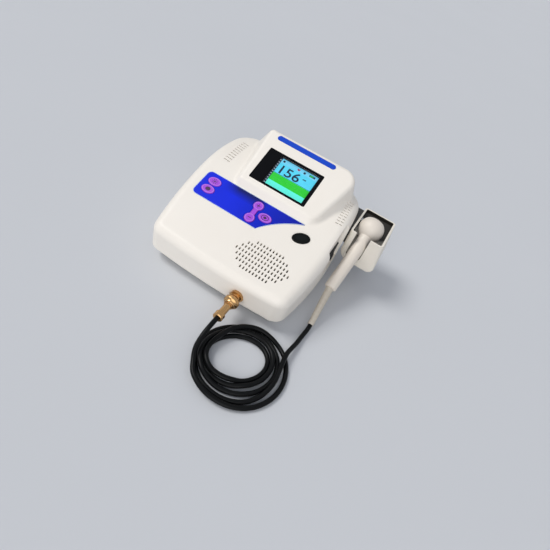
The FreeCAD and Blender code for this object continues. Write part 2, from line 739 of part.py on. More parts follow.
def socket_openings():
    """Seats and holes for the bayonet socket, the power switch, the earphone jack and the power inlet."""
    reach = 4 * WALL
    body = FRAME_BODY
    return [rod(SOCKET_PAD_R, (SOCKET_X, SOCKET_SEAT_Y, SOCKET_Z), Y_AXIS * -1, reach),
            rod(BARREL_R + THREAD_GAP, (SOCKET_X, -reach, SOCKET_Z), Y_AXIS, 2 * reach),
            rod(SOCKET_FLANGE_R + FIT, (SOCKET_X, SOCKET_SEAT_Y + SOCKET_PAD, SOCKET_Z), Y_AXIS, reach),
            side_bay(0),
            box((SWITCH_SEAT_X - reach, SWITCH_Y - FRAME_LENGTH / 2 + body - FIT,
                 SWITCH_Z - FRAME_HEIGHT / 2 + body - FIT),
                (SWITCH_SEAT_X + reach, SWITCH_Y + FRAME_LENGTH / 2 - body + FIT,
                 SWITCH_Z + FRAME_HEIGHT / 2 - body + FIT)),
            rod(JACK_BUSH_R + FIT, (JACK_SEAT_X - reach, JACK_Y, JACK_Z), X_AXIS, 2 * reach),
            rod(DC_FLANGE_R + FIT, (DC_X, DC_SEAT_Y, DC_Z), Y_AXIS, reach),
            rod(DC_BUSH_R + FIT, (DC_X, DC_SEAT_Y - reach, DC_Z), Y_AXIS, 2 * reach)]


def upper_shell(form):
    cavity = case_cavity()
    shell = form.cut(cavity).cut(plan_prism(FLANGE_WIDTH, PARTING_Z - 1, PARTING_Z + FLANGE + 1))
    pad = rod(SOCKET_PAD_R, (SOCKET_X, SOCKET_SEAT_Y, SOCKET_Z), Y_AXIS, SOCKET_PAD).common(form)
    growths = [pad, side_bay(WALL).common(form)] + rocker_ears() + deck_posts() + face_posts()
    growths += [case_boss(site, form) for site in CASE_BOSSES]
    growths += [rod(POST_R, (wall_x(y) - 4 * WALL, y, z), X_AXIS, 4 * WALL).common(form)
                for y, z in HOLDER_SCREWS]
    shell = fused([shell] + growths)
    cutters = grille_slots() + vent_slots() + window_opening() + keypad_openings() + socket_openings()
    cutters += [rod(SCREW_R + THREAD_GAP, (wall_x(y) - 3.5 * WALL, y, z), X_AXIS, 4 * WALL)
                for y, z in HOLDER_SCREWS]
    return shell.cut(Part.makeCompound(cutters))


# ---- lower shell and what stands on it ----
def lower_shell():
    floor_z = FOOT_HEIGHT
    tray = plan_prism(LOWER_INSET, floor_z, PARTING_Z)
    edge = [each for each in tray.Edges if each.BoundBox.ZMax < floor_z + 0.01]
    tray = tray.makeFillet(LOWER_EDGE_R, edge)
    outside = tray
    tray = tray.cut(plan_prism(LOWER_INSET + WALL, floor_z + WALL, PARTING_Z + 1))
    lip_outer = FLANGE_WIDTH + LIP_CLEARANCE
    lip_inner = lip_outer + LIP_THICKNESS
    hollow = plan_prism(lip_inner, PARTING_Z - LIP_ROOT, PARTING_Z + LIP_HEIGHT)
    root = plan_prism(LOWER_INSET + WALL / 2, PARTING_Z - LIP_ROOT, PARTING_Z).cut(hollow)
    lip = plan_prism(lip_outer, PARTING_Z - LIP_ROOT, PARTING_Z + LIP_HEIGHT).cut(hollow)
    around = BATTERY_GAP + BATTERY_WALL
    bay = box((BATTERY_X[0] - around, BATTERY_Y[0] - around, floor_z),
              (BATTERY_X[1] + around, BATTERY_Y[1] + around,
               floor_z + COVER_THICK + BATTERY_HEIGHT * BAY_WALL_SHARE))
    posts = [rod(BOSS_R, (x, y, floor_z), Z_AXIS, PARTING_Z - floor_z) for x, y in CASE_BOSSES]
    posts = [each.common(outside.fuse(hollow)) for each in posts]
    posts += [rod(BOSS_R - 1, (x, y, floor_z + WALL / 2), Z_AXIS, MAIN_BOARD_Z - floor_z - WALL / 2)
              for x, y in MAIN_POSTS]
    tray = fused([tray, root, lip, bay] + posts)

    low = floor_z - 1
    cutters = [battery_space(low, MAIN_BOARD_Z + BATTERY_HEIGHT)]
    cutters.append(cover_plate(BATTERY_GAP, low, floor_z + COVER_THICK))
    for x, y in CASE_BOSSES:
        cutters.append(rod(SCREW_R + THREAD_GAP, (x, y, low), Z_AXIS, PARTING_Z + LIP_HEIGHT))
        cutters.append(rod(SCREW_HEAD_R + FIT, (x, y, low), Z_AXIS, COUNTERBORE + 1))
        cutters.append(rod(BOSS_R + FIT, (x, y, PARTING_Z), Z_AXIS, LIP_HEIGHT + 1))
    for x, y in MAIN_POSTS:
        cutters.append(rod(SMALL_SCREW_R + THREAD_GAP, (x, y, floor_z + WALL), Z_AXIS, MAIN_BOARD_Z))
    for x, y in FOOT_SITES:
        cutters.append(rod(FOOT_R + FIT, (x, y, low), Z_AXIS, 1 + FOOT_SEAT))
    cutters.append(rod(SMALL_SCREW_R + THREAD_GAP, (cover_screw_site() + (low,)), Z_AXIS, 2 * WALL))
    return tray.cut(Part.makeCompound(cutters))


def battery_space(low, high):
    return box((BATTERY_X[0] - BATTERY_GAP, BATTERY_Y[0] - BATTERY_GAP, low),
               (BATTERY_X[1] + BATTERY_GAP, BATTERY_Y[1] + BATTERY_GAP, high))


def cover_plate(grow, low, high):
    """The cover's outline: a ledge all round the battery space, and a tongue at its front for the screw."""
    ledge = COVER_LEDGE - BATTERY_GAP + grow
    plate = box((BATTERY_X[0] - ledge, BATTERY_Y[0] - ledge, low),
                (BATTERY_X[1] + ledge, BATTERY_Y[1] + ledge, high))
    site = cover_screw_site()
    tongue = rod(SMALL_HEAD_R + COVER_LEDGE + grow, (site[0], site[1], low), Z_AXIS, high - low)
    return fused([plate, tongue])


def cover_screw_site():
    return ((BATTERY_X[0] + BATTERY_X[1]) / 2, BATTERY_Y[0] - BATTERY_GAP - COVER_LEDGE - SMALL_HEAD_R)


def battery_cover():
    plate = cover_plate(0, FOOT_HEIGHT, FOOT_HEIGHT + COVER_THICK)
    x, y = cover_screw_site()
    plate = plate.cut(rod(SMALL_SCREW_R + FIT, (x, y, 0), Z_AXIS, PARTING_Z))
    return plate.cut(rod(SMALL_HEAD_R + FIT, (x, y, 0), Z_AXIS, FOOT_HEIGHT + COVER_THICK / 2))


def battery_cover_screw():
    x, y = cover_screw_site()
    seat = (x, y, FOOT_HEIGHT + COVER_THICK / 2)
    return screw(SMALL_SCREW_R, SMALL_HEAD_R, COVER_THICK / 2, seat, Z_AXIS, COVER_THICK / 2 + WALL / 2)


def battery_pack():
    low = FOOT_HEIGHT + COVER_THICK
    pack = box((BATTERY_X[0], BATTERY_Y[0], low), (BATTERY_X[1], BATTERY_Y[1], low + BATTERY_HEIGHT))
    long_edges = [edge for edge in pack.Edges if edge.BoundBox.XLength > WALL]
    return pack.makeFillet(BATTERY_HEIGHT * 0.25, long_edges)


def rubber_feet():
    feet = []
    for x, y in FOOT_SITES:
        foot = rod(FOOT_R, (x, y, 0), Z_AXIS, FOOT_HEIGHT + FOOT_SEAT)
        rim = [edge for edge in foot.Edges if edge.Closed and edge.CenterOfMass.z < 0.1]
        feet.append(foot.makeChamfer(FOOT_SEAT, rim))
    return Part.makeCompound(feet)


def case_screws():
    seat_z = FOOT_HEIGHT + COUNTERBORE
    length = PARTING_Z - seat_z + BOSS_BORE_DEPTH * 0.8
    return Part.makeCompound([screw(SCREW_R, SCREW_HEAD_R, HEAD_THICK, (x, y, seat_z), Z_AXIS, length)
                              for x, y in CASE_BOSSES])


def main_board():
    low_x, high_x, low_y, high_y = MAIN_BOARD
    board = box((low_x, low_y, MAIN_BOARD_Z), (high_x, high_y, MAIN_BOARD_Z + BOARD_THICK))
    holes = [rod(SMALL_SCREW_R + FIT, (x, y, 0), Z_AXIS, 2 * MAIN_BOARD_Z) for x, y in MAIN_POSTS]
    return board.cut(Part.makeCompound(holes))


def board_screws():
    top = MAIN_BOARD_Z + BOARD_THICK
    return Part.makeCompound([screw(SMALL_SCREW_R, SMALL_HEAD_R, SMALL_HEAD_THICK, (x, y, top), Z_AXIS * -1,
                                    BOARD_THICK + 2 * WALL) for x, y in MAIN_POSTS])


def shield_can():
    low = MAIN_BOARD_Z + BOARD_THICK
    can = box((CAN_X[0], CAN_Y[0], low), (CAN_X[1], CAN_Y[1], low + CAN_HEIGHT))
    can = can.makeFillet(2 * CAN_WALL, [edge for edge in can.Edges if is_upright(edge)])
    hollow = box((CAN_X[0] + CAN_WALL, CAN_Y[0] + CAN_WALL, low),
                 (CAN_X[1] - CAN_WALL, CAN_Y[1] - CAN_WALL, low + CAN_HEIGHT - CAN_WALL))
    return can.cut(hollow)


# ---- keypad ----
def keypad_overlay():
    overlay = overlay_block(0, -OVERLAY_THICK, 0)
    holes = [key_block(site, KEY_GAP, -WALL, WALL) for site in KEY_SITES.values()]
    holes.append(rocker_block(ROCKER_GAP, -WALL, WALL))
    return placed(overlay.cut(Part.makeCompound(holes)), DECK)


def top_rim(shape, height):
    return [edge for edge in shape.Edges if abs(edge.BoundBox.ZMin - height) < 0.01]


def push_key(site, cap, proud, flange_x, stem_end):
    """A cap through the deck, wings under the deck that stop it, and a stem to its switch."""
    wing_top = -WALL - RUN_GAP
    wing_low = wing_top - KEY_FLANGE_THICK
    cap = cap.makeFillet(proud * 0.6, top_rim(cap, proud))
    wings = box((site[0] - flange_x, site[1] - KEY_FLANGE_HALF, wing_low),
                (site[0] + flange_x, site[1] + KEY_FLANGE_HALF, wing_top))
    stem = rod(KEY_STEM_R, (site[0], site[1], stem_end), Z_AXIS, wing_low - stem_end)
    return placed(fused([cap, wings, stem]), DECK)


def deck_key(name):
    site = KEY_SITES[name]
    cap = key_block(site, 0, -WALL - RUN_GAP - KEY_FLANGE_THICK, KEY_PROUD)
    return push_key(site, cap, KEY_PROUD, KEY_HALF_WIDTH + KEY_FLANGE, KEY_STEM_END)


def oval_button():
    site = (OVAL_X, OVAL_UP)
    cap = oval_block(0, -WALL - RUN_GAP - KEY_FLANGE_THICK, OVAL_PROUD)
    return push_key(site, cap, OVAL_PROUD, OVAL_HALF_LENGTH + KEY_FLANGE, KEY_STEM_END)


def volume_rocker_key():
    """A dumbbell cap that rocks on two trunnions; each lobe has a stem to its switch."""
    cap = rocker_block(0, -ROCKER_DEPTH, KEY_PROUD)
    cap = cap.makeFillet(KEY_PROUD * 0.6, top_rim(cap, KEY_PROUD))
    reach = ROCKER_WAIST / 2 + ROCKER_GAP + ROCKER_EAR
    pin = rod(ROCKER_PIN_R, (ROCKER_X - reach, ROCKER_UP, -ROCKER_PIVOT_DEPTH), X_AXIS, 2 * reach)
    stems = [rod(KEY_STEM_R, (ROCKER_X, ROCKER_UP + side * ROCKER_REACH, KEY_STEM_END), Z_AXIS,
                 -KEY_STEM_END - ROCKER_DEPTH) for side in (-1, 1)]
    return placed(fused([cap, pin] + stems), DECK)


def switch_sites():
    sites = list(KEY_SITES.values())
    sites += [(ROCKER_X, ROCKER_UP + side * ROCKER_REACH) for side in (-1, 1)]
    return sites + [(OVAL_X, OVAL_UP)]


def key_switches():
    """A push switch under each stem, standing on the key board."""
    switches = []
    base = -KEY_BOARD_DEPTH
    tip = KEY_STEM_END - OVAL_TRAVEL - SWITCH_GAP
    half = SWITCH_SIDE / 2
    for x, up in switch_sites():
        body = box((x - half, up - half, base), (x + half, up + half, base + SWITCH_HEIGHT))
        button = rod(SWITCH_BUTTON_R, (x, up, base + SWITCH_HEIGHT), Z_AXIS, tip - base - SWITCH_HEIGHT)
        switches.append(placed(body.fuse(button).removeSplitter(), DECK))
    return Part.makeCompound(switches)


def key_board():
    low_x, high_x, low_up, high_up = KEY_BOARD
    board = box((low_x, low_up, -KEY_BOARD_DEPTH - BOARD_THICK), (high_x, high_up, -KEY_BOARD_DEPTH))
    holes = [rod(SMALL_SCREW_R + FIT, (x, up, -2 * KEY_BOARD_DEPTH), Z_AXIS, 2 * KEY_BOARD_DEPTH)
             for x, up in KEY_POSTS]
    return placed(board.cut(Part.makeCompound(holes)), DECK)


def small_screws(sites, depth, frame, length, head_r=SMALL_HEAD_R):
    """Screws driven upwards in a tilted frame, with their heads under the given depth."""
    screws = [screw(SMALL_SCREW_R, head_r, SMALL_HEAD_THICK, (x, up, -depth), Z_AXIS, length)
              for x, up in sites]
    return Part.makeCompound([placed(each, frame) for each in screws])


def key_board_screws():
    return small_screws(KEY_POSTS, KEY_BOARD_DEPTH + BOARD_THICK, DECK, BOARD_THICK + WALL)


# ---- loudspeaker ----
def speaker_sites():
    return [(GRILLE_X + across * SPEAKER_SCREW_X, GRILLE_UP + up * SPEAKER_SCREW_UP)
            for across in (-1, 1) for up in (-1, 1)]


def flared(half_x, half_up, top, end_r, bottom):
    """A solid that narrows from an oval at the top to a circle at the bottom."""
    centre = (GRILLE_X, GRILLE_UP)
    upper = Part.Wire([ellipse(half_x, half_up, centre, top)])
    lower = Part.Wire([ellipse(end_r * 1.0001, end_r, centre, bottom)])
    return Part.makeLoft([lower, upper], True, False)


def speaker_frame():
    """An oval rim against the underside of the deck and a basket down to the magnet."""
    centre = (GRILLE_X, GRILLE_UP)
    rim_low = -WALL - SPEAKER_RIM
    wide = SPEAKER_OPEN_X + SPEAKER_RIM_WIDTH
    tall = SPEAKER_OPEN_UP + SPEAKER_RIM_WIDTH
    rim = oval(wide, tall, centre, rim_low, -WALL)
    floor = rim_low - BASKET_DEPTH
    basket = flared(SPEAKER_OPEN_X, SPEAKER_OPEN_UP, rim_low, BASKET_R, floor)
    thick = BASKET_THICK
    hollow = flared(SPEAKER_OPEN_X - thick, SPEAKER_OPEN_UP - thick, rim_low,
                    BASKET_R - thick, floor + thick)
    mouth = oval(SPEAKER_OPEN_X - thick, SPEAKER_OPEN_UP - thick, centre, rim_low - 0.01, 0)
    frame = fused([rim, basket]).cut(fused([hollow, mouth]))
    return placed(frame, DECK)


def speaker_cone():
    """A thin paper cone inside the basket, with its surround glued to the basket's mouth."""
    inset = BASKET_THICK + CONE_GAP / 4
    top = -WALL - SPEAKER_RIM
    floor = top - BASKET_DEPTH * 0.7
    half_x = SPEAKER_OPEN_X - inset
    half_up = SPEAKER_OPEN_UP - inset
    outer = flared(half_x, half_up, top, BASKET_R * 0.5, floor)
    inner = flared(half_x - CONE_THICK, half_up - CONE_THICK, top,
                   BASKET_R * 0.5 - CONE_THICK, floor + CONE_THICK)
    return placed(outer.cut(inner), DECK)


def speaker_magnet():
    top = -WALL - SPEAKER_RIM - BASKET_DEPTH
    start = (GRILLE_X, GRILLE_UP, top - MAGNET_THICK)
    magnet = rod(MAGNET_R, start, Z_AXIS, MAGNET_THICK)
    magnet = magnet.makeChamfer(MAGNET_THICK * 0.12, [edge for edge in magnet.Edges if edge.Closed])
    return placed(magnet, DECK)


def speaker_screws():
    depth = WALL + SPEAKER_RIM
    return small_screws(speaker_sites(), depth, DECK, SPEAKER_RIM * 0.8, SPEAKER_HEAD_R)


# ---- display ----
def display_window():
    plate = rounded_plate(WINDOW_WIDTH, WINDOW_HEIGHT, WINDOW_R, (WINDOW_X, WINDOW_UP), -WINDOW_THICK, 0)
    return placed(plate, FACE)


def lcd_module():
    """The display panel in its frame, which rests against the inside of the housing."""
    frame = rounded_plate(MODULE_WIDTH, MODULE_HEIGHT, WINDOW_R, (WINDOW_X, WINDOW_UP),
                          -WALL - MODULE_THICK, -WALL)
    sunk = rounded_plate(LIT_WIDTH, LIT_HEIGHT, WINDOW_R, (LIT_X, WINDOW_UP), -WALL - WINDOW_THICK / 2, 0)
    return placed(frame.cut(sunk), FACE)


def lcd_board():
    low = -WALL - MODULE_THICK - BOARD_THICK
    board = box((WINDOW_X - LCD_BOARD_WIDTH / 2, WINDOW_UP - LCD_BOARD_HEIGHT / 2, low),
                (WINDOW_X + LCD_BOARD_WIDTH / 2, WINDOW_UP + LCD_BOARD_HEIGHT / 2, low + BOARD_THICK))
    holes = [rod(SMALL_SCREW_R + FIT, (x, up, low - 1), Z_AXIS, BOARD_THICK + 2) for x, up in lcd_sites()]
    return placed(board.cut(Part.makeCompound(holes)), FACE)


def lcd_screws():
    return small_screws(lcd_sites(), WALL + MODULE_THICK + BOARD_THICK, FACE, BOARD_THICK + WALL)


def accent_strip():
    strip = stadium(STRIP_LENGTH / 2, STRIP_WIDTH / 2, (STRIP_X, STRIP_UP), -STRIP_DEPTH, STRIP_PROUD)
    strip = strip.makeFillet(STRIP_PROUD, top_rim(strip, STRIP_PROUD))
    return placed(strip, FACE)


# ---- bayonet socket and plug ----
def on_socket(distance):
    """A point on the socket's axis, this far in front of its seat."""
    return (SOCKET_X, SOCKET_SEAT_Y - distance, SOCKET_Z)


FORWARD = Y_AXIS * -1
NUT_START = WASHER_THICK
NUT_END = NUT_START + NUT_THICK
COUPLING_FRONT = NUT_END + COUPLING_START
SHOULDER = COUPLING_FRONT + COUPLING_LENGTH
COUPLING_END = SHOULDER + COUPLING_TAIL
PLUG_END = COUPLING_END + PLUG_BARREL
CLAMP_END = PLUG_END + CLAMP_LENGTH


def bnc_socket():
    """Flange inside the wall, threaded barrel through it and two bayonet lugs near the mouth."""
    flange = rod(SOCKET_FLANGE_R, on_socket(-SOCKET_PAD - SOCKET_FLANGE), FORWARD, SOCKET_FLANGE)
    tail = rod(BARREL_BORE_R, on_socket(-SOCKET_PAD - SOCKET_FLANGE - SOCKET_TAIL), FORWARD, SOCKET_TAIL)
    barrel = rod(BARREL_R, on_socket(-SOCKET_PAD), FORWARD, SOCKET_PAD + BARREL_LENGTH)
    lug_at = on_socket(BARREL_LENGTH - LUG_BACK)
    lugs = rod(LUG_R, (lug_at[0] - LUG_REACH, lug_at[1], lug_at[2]), X_AXIS, 2 * LUG_REACH)
    body = fused([flange, tail, barrel, lugs])
    bore_start = on_socket(NUT_END)
    bore = rod(BARREL_BORE_R, bore_start, FORWARD, BARREL_LENGTH)
    contact = rod(SLEEVE_BORE_R * 0.5, bore_start, FORWARD, BARREL_LENGTH * 0.3)
    return body.cut(bore).fuse(contact).removeSplitter()


def bnc_washer():
    return tube(WASHER_R, BARREL_R + THREAD_GAP, on_socket(0), FORWARD, WASHER_THICK)


def bnc_nut():
    corner_r = NUT_FLATS / math.sqrt(3)
    x, y, z = on_socket(NUT_START)
    turns = [math.radians(60 * index) for index in range(6)]
    corners = [V(x + corner_r * math.cos(turn), y, z + corner_r * math.sin(turn)) for turn in turns]
    nut = prism_of(polygon(corners), FORWARD * NUT_THICK)
    return nut.cut(rod(BARREL_R + THREAD_GAP, (x, y + 1, z), FORWARD, NUT_THICK + 2))


def plug_coupling_nut():
    """A knurled bayonet ring; a groove inside clears the socket's lugs over its quarter turn."""
    ring = rod(COUPLING_R, on_socket(COUPLING_FRONT), FORWARD, COUPLING_LENGTH)
    rim = [edge for edge in ring.Edges if edge.Closed]
    ring = ring.makeChamfer(KNURL_R, rim)
    taper = Part.makeCone(COUPLING_R - 2 * KNURL_R, COLLAR_R + 1.0, COUPLING_TAIL,
                          V(*on_socket(SHOULDER)), FORWARD)
    knurls = []
    for index in range(KNURLS):
        angle = 2 * math.pi * index / KNURLS
        x, y, z = on_socket(COUPLING_FRONT - 1)
        start = (x + COUPLING_R * math.cos(angle), y, z + COUPLING_R * math.sin(angle))
        knurls.append(rod(KNURL_R, start, FORWARD, COUPLING_LENGTH + 1 - KNURL_R))
    ring = ring.cut(Part.makeCompound(knurls))
    body = fused([ring, taper])
    bore = rod(BARREL_R + 2 * RUN_GAP, on_socket(COUPLING_FRONT - 1), FORWARD, SHOULDER - COUPLING_FRONT + 1)
    collar_bore = rod(COLLAR_R + RUN_GAP, on_socket(SHOULDER - 1), FORWARD, COUPLING_TAIL + 2)
    lug_at = BARREL_LENGTH - LUG_BACK
    groove = rod(LUG_REACH + 3 * RUN_GAP, on_socket(lug_at - 1.5 * LUG_R), FORWARD, 3 * LUG_R)
    entries = box((SOCKET_X - LUG_R - FIT, SOCKET_SEAT_Y - lug_at, SOCKET_Z - LUG_REACH - FIT),
                  (SOCKET_X + LUG_R + FIT, SOCKET_SEAT_Y - COUPLING_FRONT + 1, SOCKET_Z + LUG_REACH + FIT))
    return body.cut(fused([bore, collar_bore, groove, entries]))


def plug_body():
    """Inner sleeve in the socket's bore, collar that carries the ring, and the slim barrel behind."""
    sleeve = rod(SLEEVE_R, on_socket(COUPLING_FRONT), FORWARD, SHOULDER - COUPLING_FRONT)
    collar = rod(COLLAR_R, on_socket(SHOULDER), FORWARD, COUPLING_TAIL + COLLAR_STAND)
    barrel = rod(PLUG_R, on_socket(SHOULDER), FORWARD, PLUG_END - SHOULDER)
    body = fused([sleeve, collar, barrel])
    hollow = rod(SLEEVE_BORE_R, on_socket(COUPLING_FRONT - 1), FORWARD, SHOULDER - COUPLING_FRONT)
    return body.cut(hollow)


def plug_clamp_nut():
    """The rear nut, with wrench flats and a rounded tail that the cable leaves."""
    nut = rod(CLAMP_R, on_socket(PLUG_END), FORWARD, CLAMP_LENGTH)
    nut = nut.makeChamfer(CLAMP_R * 0.15, [edge for edge in nut.Edges if edge.Closed])
    x, y, z = on_socket(PLUG_END)
    flats = []
    for side in (-1, 1):
        near = side * CLAMP_R * 0.86
        low = min(near, side * 2 * CLAMP_R)
        high = max(near, side * 2 * CLAMP_R)
        flats.append(box((x + low, y - CLAMP_LENGTH * 0.75, z - CLAMP_R),
                         (x + high, y - CLAMP_LENGTH * 0.25, z + CLAMP_R)))
    return nut.cut(Part.makeCompound(flats))


# ---- cable ----
def cord_path(route):
    """Straight runs joined by tangent arcs, each as large as its two runs allow. Returns wire and radii."""
    points = [V(*point) for point in route]
    edges = []
    radii = []
    start = points[0]
    for before, corner, after in zip(points, points[1:], points[2:]):
        back = (before - corner).normalize()
        ahead = (after - corner).normalize()
        turn = math.pi - back.getAngle(ahead)
        cut = 0.45 * min((before - corner).Length, (after - corner).Length)
        radius = cut / math.tan(turn / 2)
        bisector = (back + ahead).normalize()
        centre = corner + bisector * (radius / math.cos(turn / 2))
        first = corner + back * cut
        last = corner + ahead * cut
        edges.append(line(start, first))
        edges.append(arc(first, centre - bisector * radius, last))
        radii.append(radius)
        start = last
    edges.append(line(start, points[-1]))
    return Part.Wire(edges), radii


def cord_tube(name, route):
    path, radii = cord_path(route)
    start = V(*route[0])
    direction = (V(*route[1]) - start).normalize()
    profile = Part.Wire([Part.Circle(start, direction, CABLE_R).toShape()])
    solid = path.makePipeShell([profile], True, False)
    expected = math.pi * CABLE_R ** 2 * path.Length
    print(name, "length", round(path.Length, 1), "radii", [round(radius, 1) for radius in radii],
          "volume ratio", round(solid.Volume / expected, 4))
    return solid


def lead_route():
    """From the probe's boot down to the table and in a slight bow to the coil."""
    first = V(*RELIEF_END)
    down = V(first.x + LEAD_DROP[0], first.y + LEAD_DROP[1], LEAD_DROP_Z)
    end = V(*LEAD_END)
    route = [first, down]
    for share, bow, z in LEAD_BOW:
        point = down + (end - down) * share
        route.append(V(point.x + bow, point.y, z))
    return route + [end]


def cable_coil():
    """The outer shape of the loose coil: a flat ring with rounded edges and an oval eye."""
    disc = rod(COIL_OUTER_R, COIL_CENTRE + (0,), Z_AXIS, COIL_HEIGHT)
    eye = oval(COIL_EYE_HALF_LENGTH, COIL_EYE_HALF_WIDTH, COIL_EYE, -1, COIL_HEIGHT + 1, COIL_EYE_TURN)
    ring = disc.cut(eye)
    return ring.makeFillet(CABLE_R, [edge for edge in ring.Edges if edge.Closed])


# ---- probe ----
def axis_frame(start, end):
    """A frame at the start whose Z points at the end."""
    return FreeCAD.Placement(V(*start), FreeCAD.Rotation(Z_AXIS, V(*end) - V(*start)))


PROBE = axis_frame(HEAD_CENTRE, HANDLE_END)
HANDLE_LENGTH = (V(*HANDLE_END) - V(*HEAD_CENTRE)).Length


def revolved(edges):
    return Part.Face(Part.Wire(edges)).revolve(V(0, 0, 0), Z_AXIS, 360)


def probe_profile(inset):
    """Half section of head and handle: the seam ring, the round bulb, the neck and the tapering grip."""
    head_r = BULB_R - inset
    seam_z = inset - FACE_PLANE
    seam_r = math.sqrt(BULB_R ** 2 - FACE_PLANE ** 2) - inset
    neck_z = BULB_R * 0.85
    neck_r = math.sqrt(BULB_R ** 2 - neck_z ** 2) - inset
    grip_z = neck_z + NECK_R
    end_z = HANDLE_LENGTH - inset
    hip = math.radians(20)
    sag = 0.35
    seam = V(seam_r, 0, seam_z)
    neck = V(max(neck_r, HANDLE_R_HEAD - inset), 0, neck_z)
    grip = V(HANDLE_R_HEAD - inset, 0, grip_z)
    end = V(HANDLE_R_END - inset, 0, end_z)
    middle = V((neck.x + grip.x) / 2 - sag, 0, (neck.z + grip.z) / 2)
    return [line(V(0, 0, seam_z), seam),
            arc(seam, V(head_r * math.cos(hip), 0, head_r * math.sin(hip)), neck),
            arc(neck, middle, grip),
            line(grip, end),
            line(end, V(0, 0, end_z)),
            line(V(0, 0, end_z), V(0, 0, seam_z))]


def probe_housing():
    outer = revolved(probe_profile(0))
    end_rim = [edge for edge in outer.Edges if edge.Closed and abs(edge.CenterOfMass.z - HANDLE_LENGTH) < 0.1
               and edge.BoundBox.XLength > HANDLE_R_END]
    outer = outer.makeFillet(HANDLE_R_END * 0.3, end_rim)
    hollow = revolved(probe_profile(PROBE_WALL))
    mouth = rod(BULB_R * MOUTH_SHARE, (0, 0, -BULB_R), Z_AXIS, BULB_R)
    exit_bore = rod(RELIEF_R_START + RUN_GAP, (0, 0, HANDLE_LENGTH - RELIEF_PLUG), Z_AXIS, 2 * RELIEF_PLUG)
    return placed(outer.cut(hollow).cut(mouth).cut(exit_bore), PROBE)


def probe_face():
    """The crowned transducer face, turned in one piece with the plug that seats it in the head's mouth."""
    seam_r = math.sqrt(BULB_R ** 2 - FACE_PLANE ** 2)
    plug_r = BULB_R * MOUTH_SHARE - RUN_GAP
    crown_r = (seam_r ** 2 + FACE_RISE ** 2) / (2 * FACE_RISE)
    half_angle = math.asin(seam_r / crown_r) / 2
    edge = V(seam_r, 0, -FACE_PLANE)
    top = V(0, 0, -FACE_PLANE - FACE_RISE)
    side = V(crown_r * math.sin(half_angle), 0, top.z + crown_r * (1 - math.cos(half_angle)))
    plug_end = FACE_LIP - FACE_PLANE
    section = [arc(edge, side, top),
               line(top, V(0, 0, plug_end)),
               line(V(0, 0, plug_end), V(plug_r, 0, plug_end)),
               line(V(plug_r, 0, plug_end), V(plug_r, 0, -FACE_PLANE)),
               line(V(plug_r, 0, -FACE_PLANE), edge)]
    return placed(revolved(section), PROBE)


def probe_crystals():
    """Transmitting and receiving half discs behind the face."""
    start = FACE_LIP - FACE_PLANE
    disc = rod(CRYSTAL_R, (0, 0, start), Z_AXIS, CRYSTAL_THICK)
    half = CRYSTAL_SPLIT / 2
    gap = box((-half, -BULB_R, start - 1), (half, BULB_R, start + CRYSTAL_THICK + 1))
    return Part.makeCompound([placed(solid, PROBE) for solid in disc.cut(gap).Solids])


def probe_strain_relief():
    """A tapering boot with shallow rings, plugged into the end of the handle."""
    length = (V(*RELIEF_END) - V(*HANDLE_END)).Length
    pitch = length / (RELIEF_RINGS + 1)

    def on_cone(z, depth):
        return V(RELIEF_R_START + (RELIEF_R_END - RELIEF_R_START) * z / length - depth, 0, z)

    points = [V(0, 0, 0), on_cone(0, 0)]
    for index in range(1, RELIEF_RINGS + 1):
        low = index * pitch - RING_WIDTH / 2
        high = low + RING_WIDTH
        points += [on_cone(low, 0), on_cone(low, RING_DEPTH), on_cone(high, RING_DEPTH), on_cone(high, 0)]
    points += [on_cone(length, 0), V(0, 0, length)]
    boot = placed(revolved(polygon(points)), axis_frame(HANDLE_END, RELIEF_END))
    end = V(*HANDLE_END)
    along = (end - V(*HEAD_CENTRE)).normalize()
    plug = rod(RELIEF_R_START, tuple(end - along * (RELIEF_PLUG - RUN_GAP)), along, RELIEF_PLUG)
    return boot.fuse(plug).removeSplitter()


# ---- holder ----
def holder_block(inset, low, high):
    """The holder's form, with a flared outer side and a rounded base, drawn in by the inset."""
    left = HOLDER_LEFT + inset
    right = HOLDER_LEFT + HOLDER_WIDTH - inset
    flare = HOLDER_FLARE * (HOLDER_RIM - HOLDER_BASE) / (HOLDER_RIM - SLOT_FLOOR)
    front = HOLDER_FRONT + inset
    length = HOLDER_LENGTH - 2 * inset
    rise = flare * (high - HOLDER_RIM) / (HOLDER_RIM - HOLDER_BASE)
    corners = [V(left, front, low), V(right + flare, front, low),
               V(right - rise, front, high), V(left, front, high)]
    block = prism_of(polygon(corners), V(0, length, 0))
    base = [edge for edge in block.Edges
            if edge.BoundBox.YLength > HOLDER_CORNER_R and edge.BoundBox.ZMax < low + 1]
    for edge in sorted(base, key=lambda each: -each.CenterOfMass.x):
        at_left = edge.CenterOfMass.x < HOLDER_LEFT + HOLDER_WIDTH / 2
        radius = HOLDER_R_LEFT if at_left else HOLDER_R_RIGHT
        matching = [each for each in block.Edges if (each.CenterOfMass - edge.CenterOfMass).Length < 0.5]
        block = block.makeFillet(radius - inset, matching)
    ends = [edge for edge in block.Edges
            if abs(edge.BoundBox.YMin - front) < 0.01 and edge.BoundBox.YLength < 0.01
            and edge.BoundBox.ZMin < high - 1]
    ends += [edge for edge in block.Edges
             if abs(edge.BoundBox.YMin - front - length) < 0.01 and edge.BoundBox.YLength < 0.01
             and edge.BoundBox.ZMin < high - 1]
    return block.makeFillet(max(HOLDER_CORNER_R - inset, 0.3), ends)


def above_floor(offset):
    """Everything above the sloping floor, which runs along under the probe, moved by the offset."""
    size = 4 * HOLDER_LENGTH
    slope = math.degrees(math.atan2(HEAD_CENTRE[2] - HANDLE_END[2], HEAD_CENTRE[1] - HANDLE_END[1]))
    block = Part.makeBox(size, size, size, V(-size / 2, -size / 2, -BULB_R - FLOOR_GAP + offset))
    return placed(block, tilted(slope, V(*HEAD_CENTRE)))


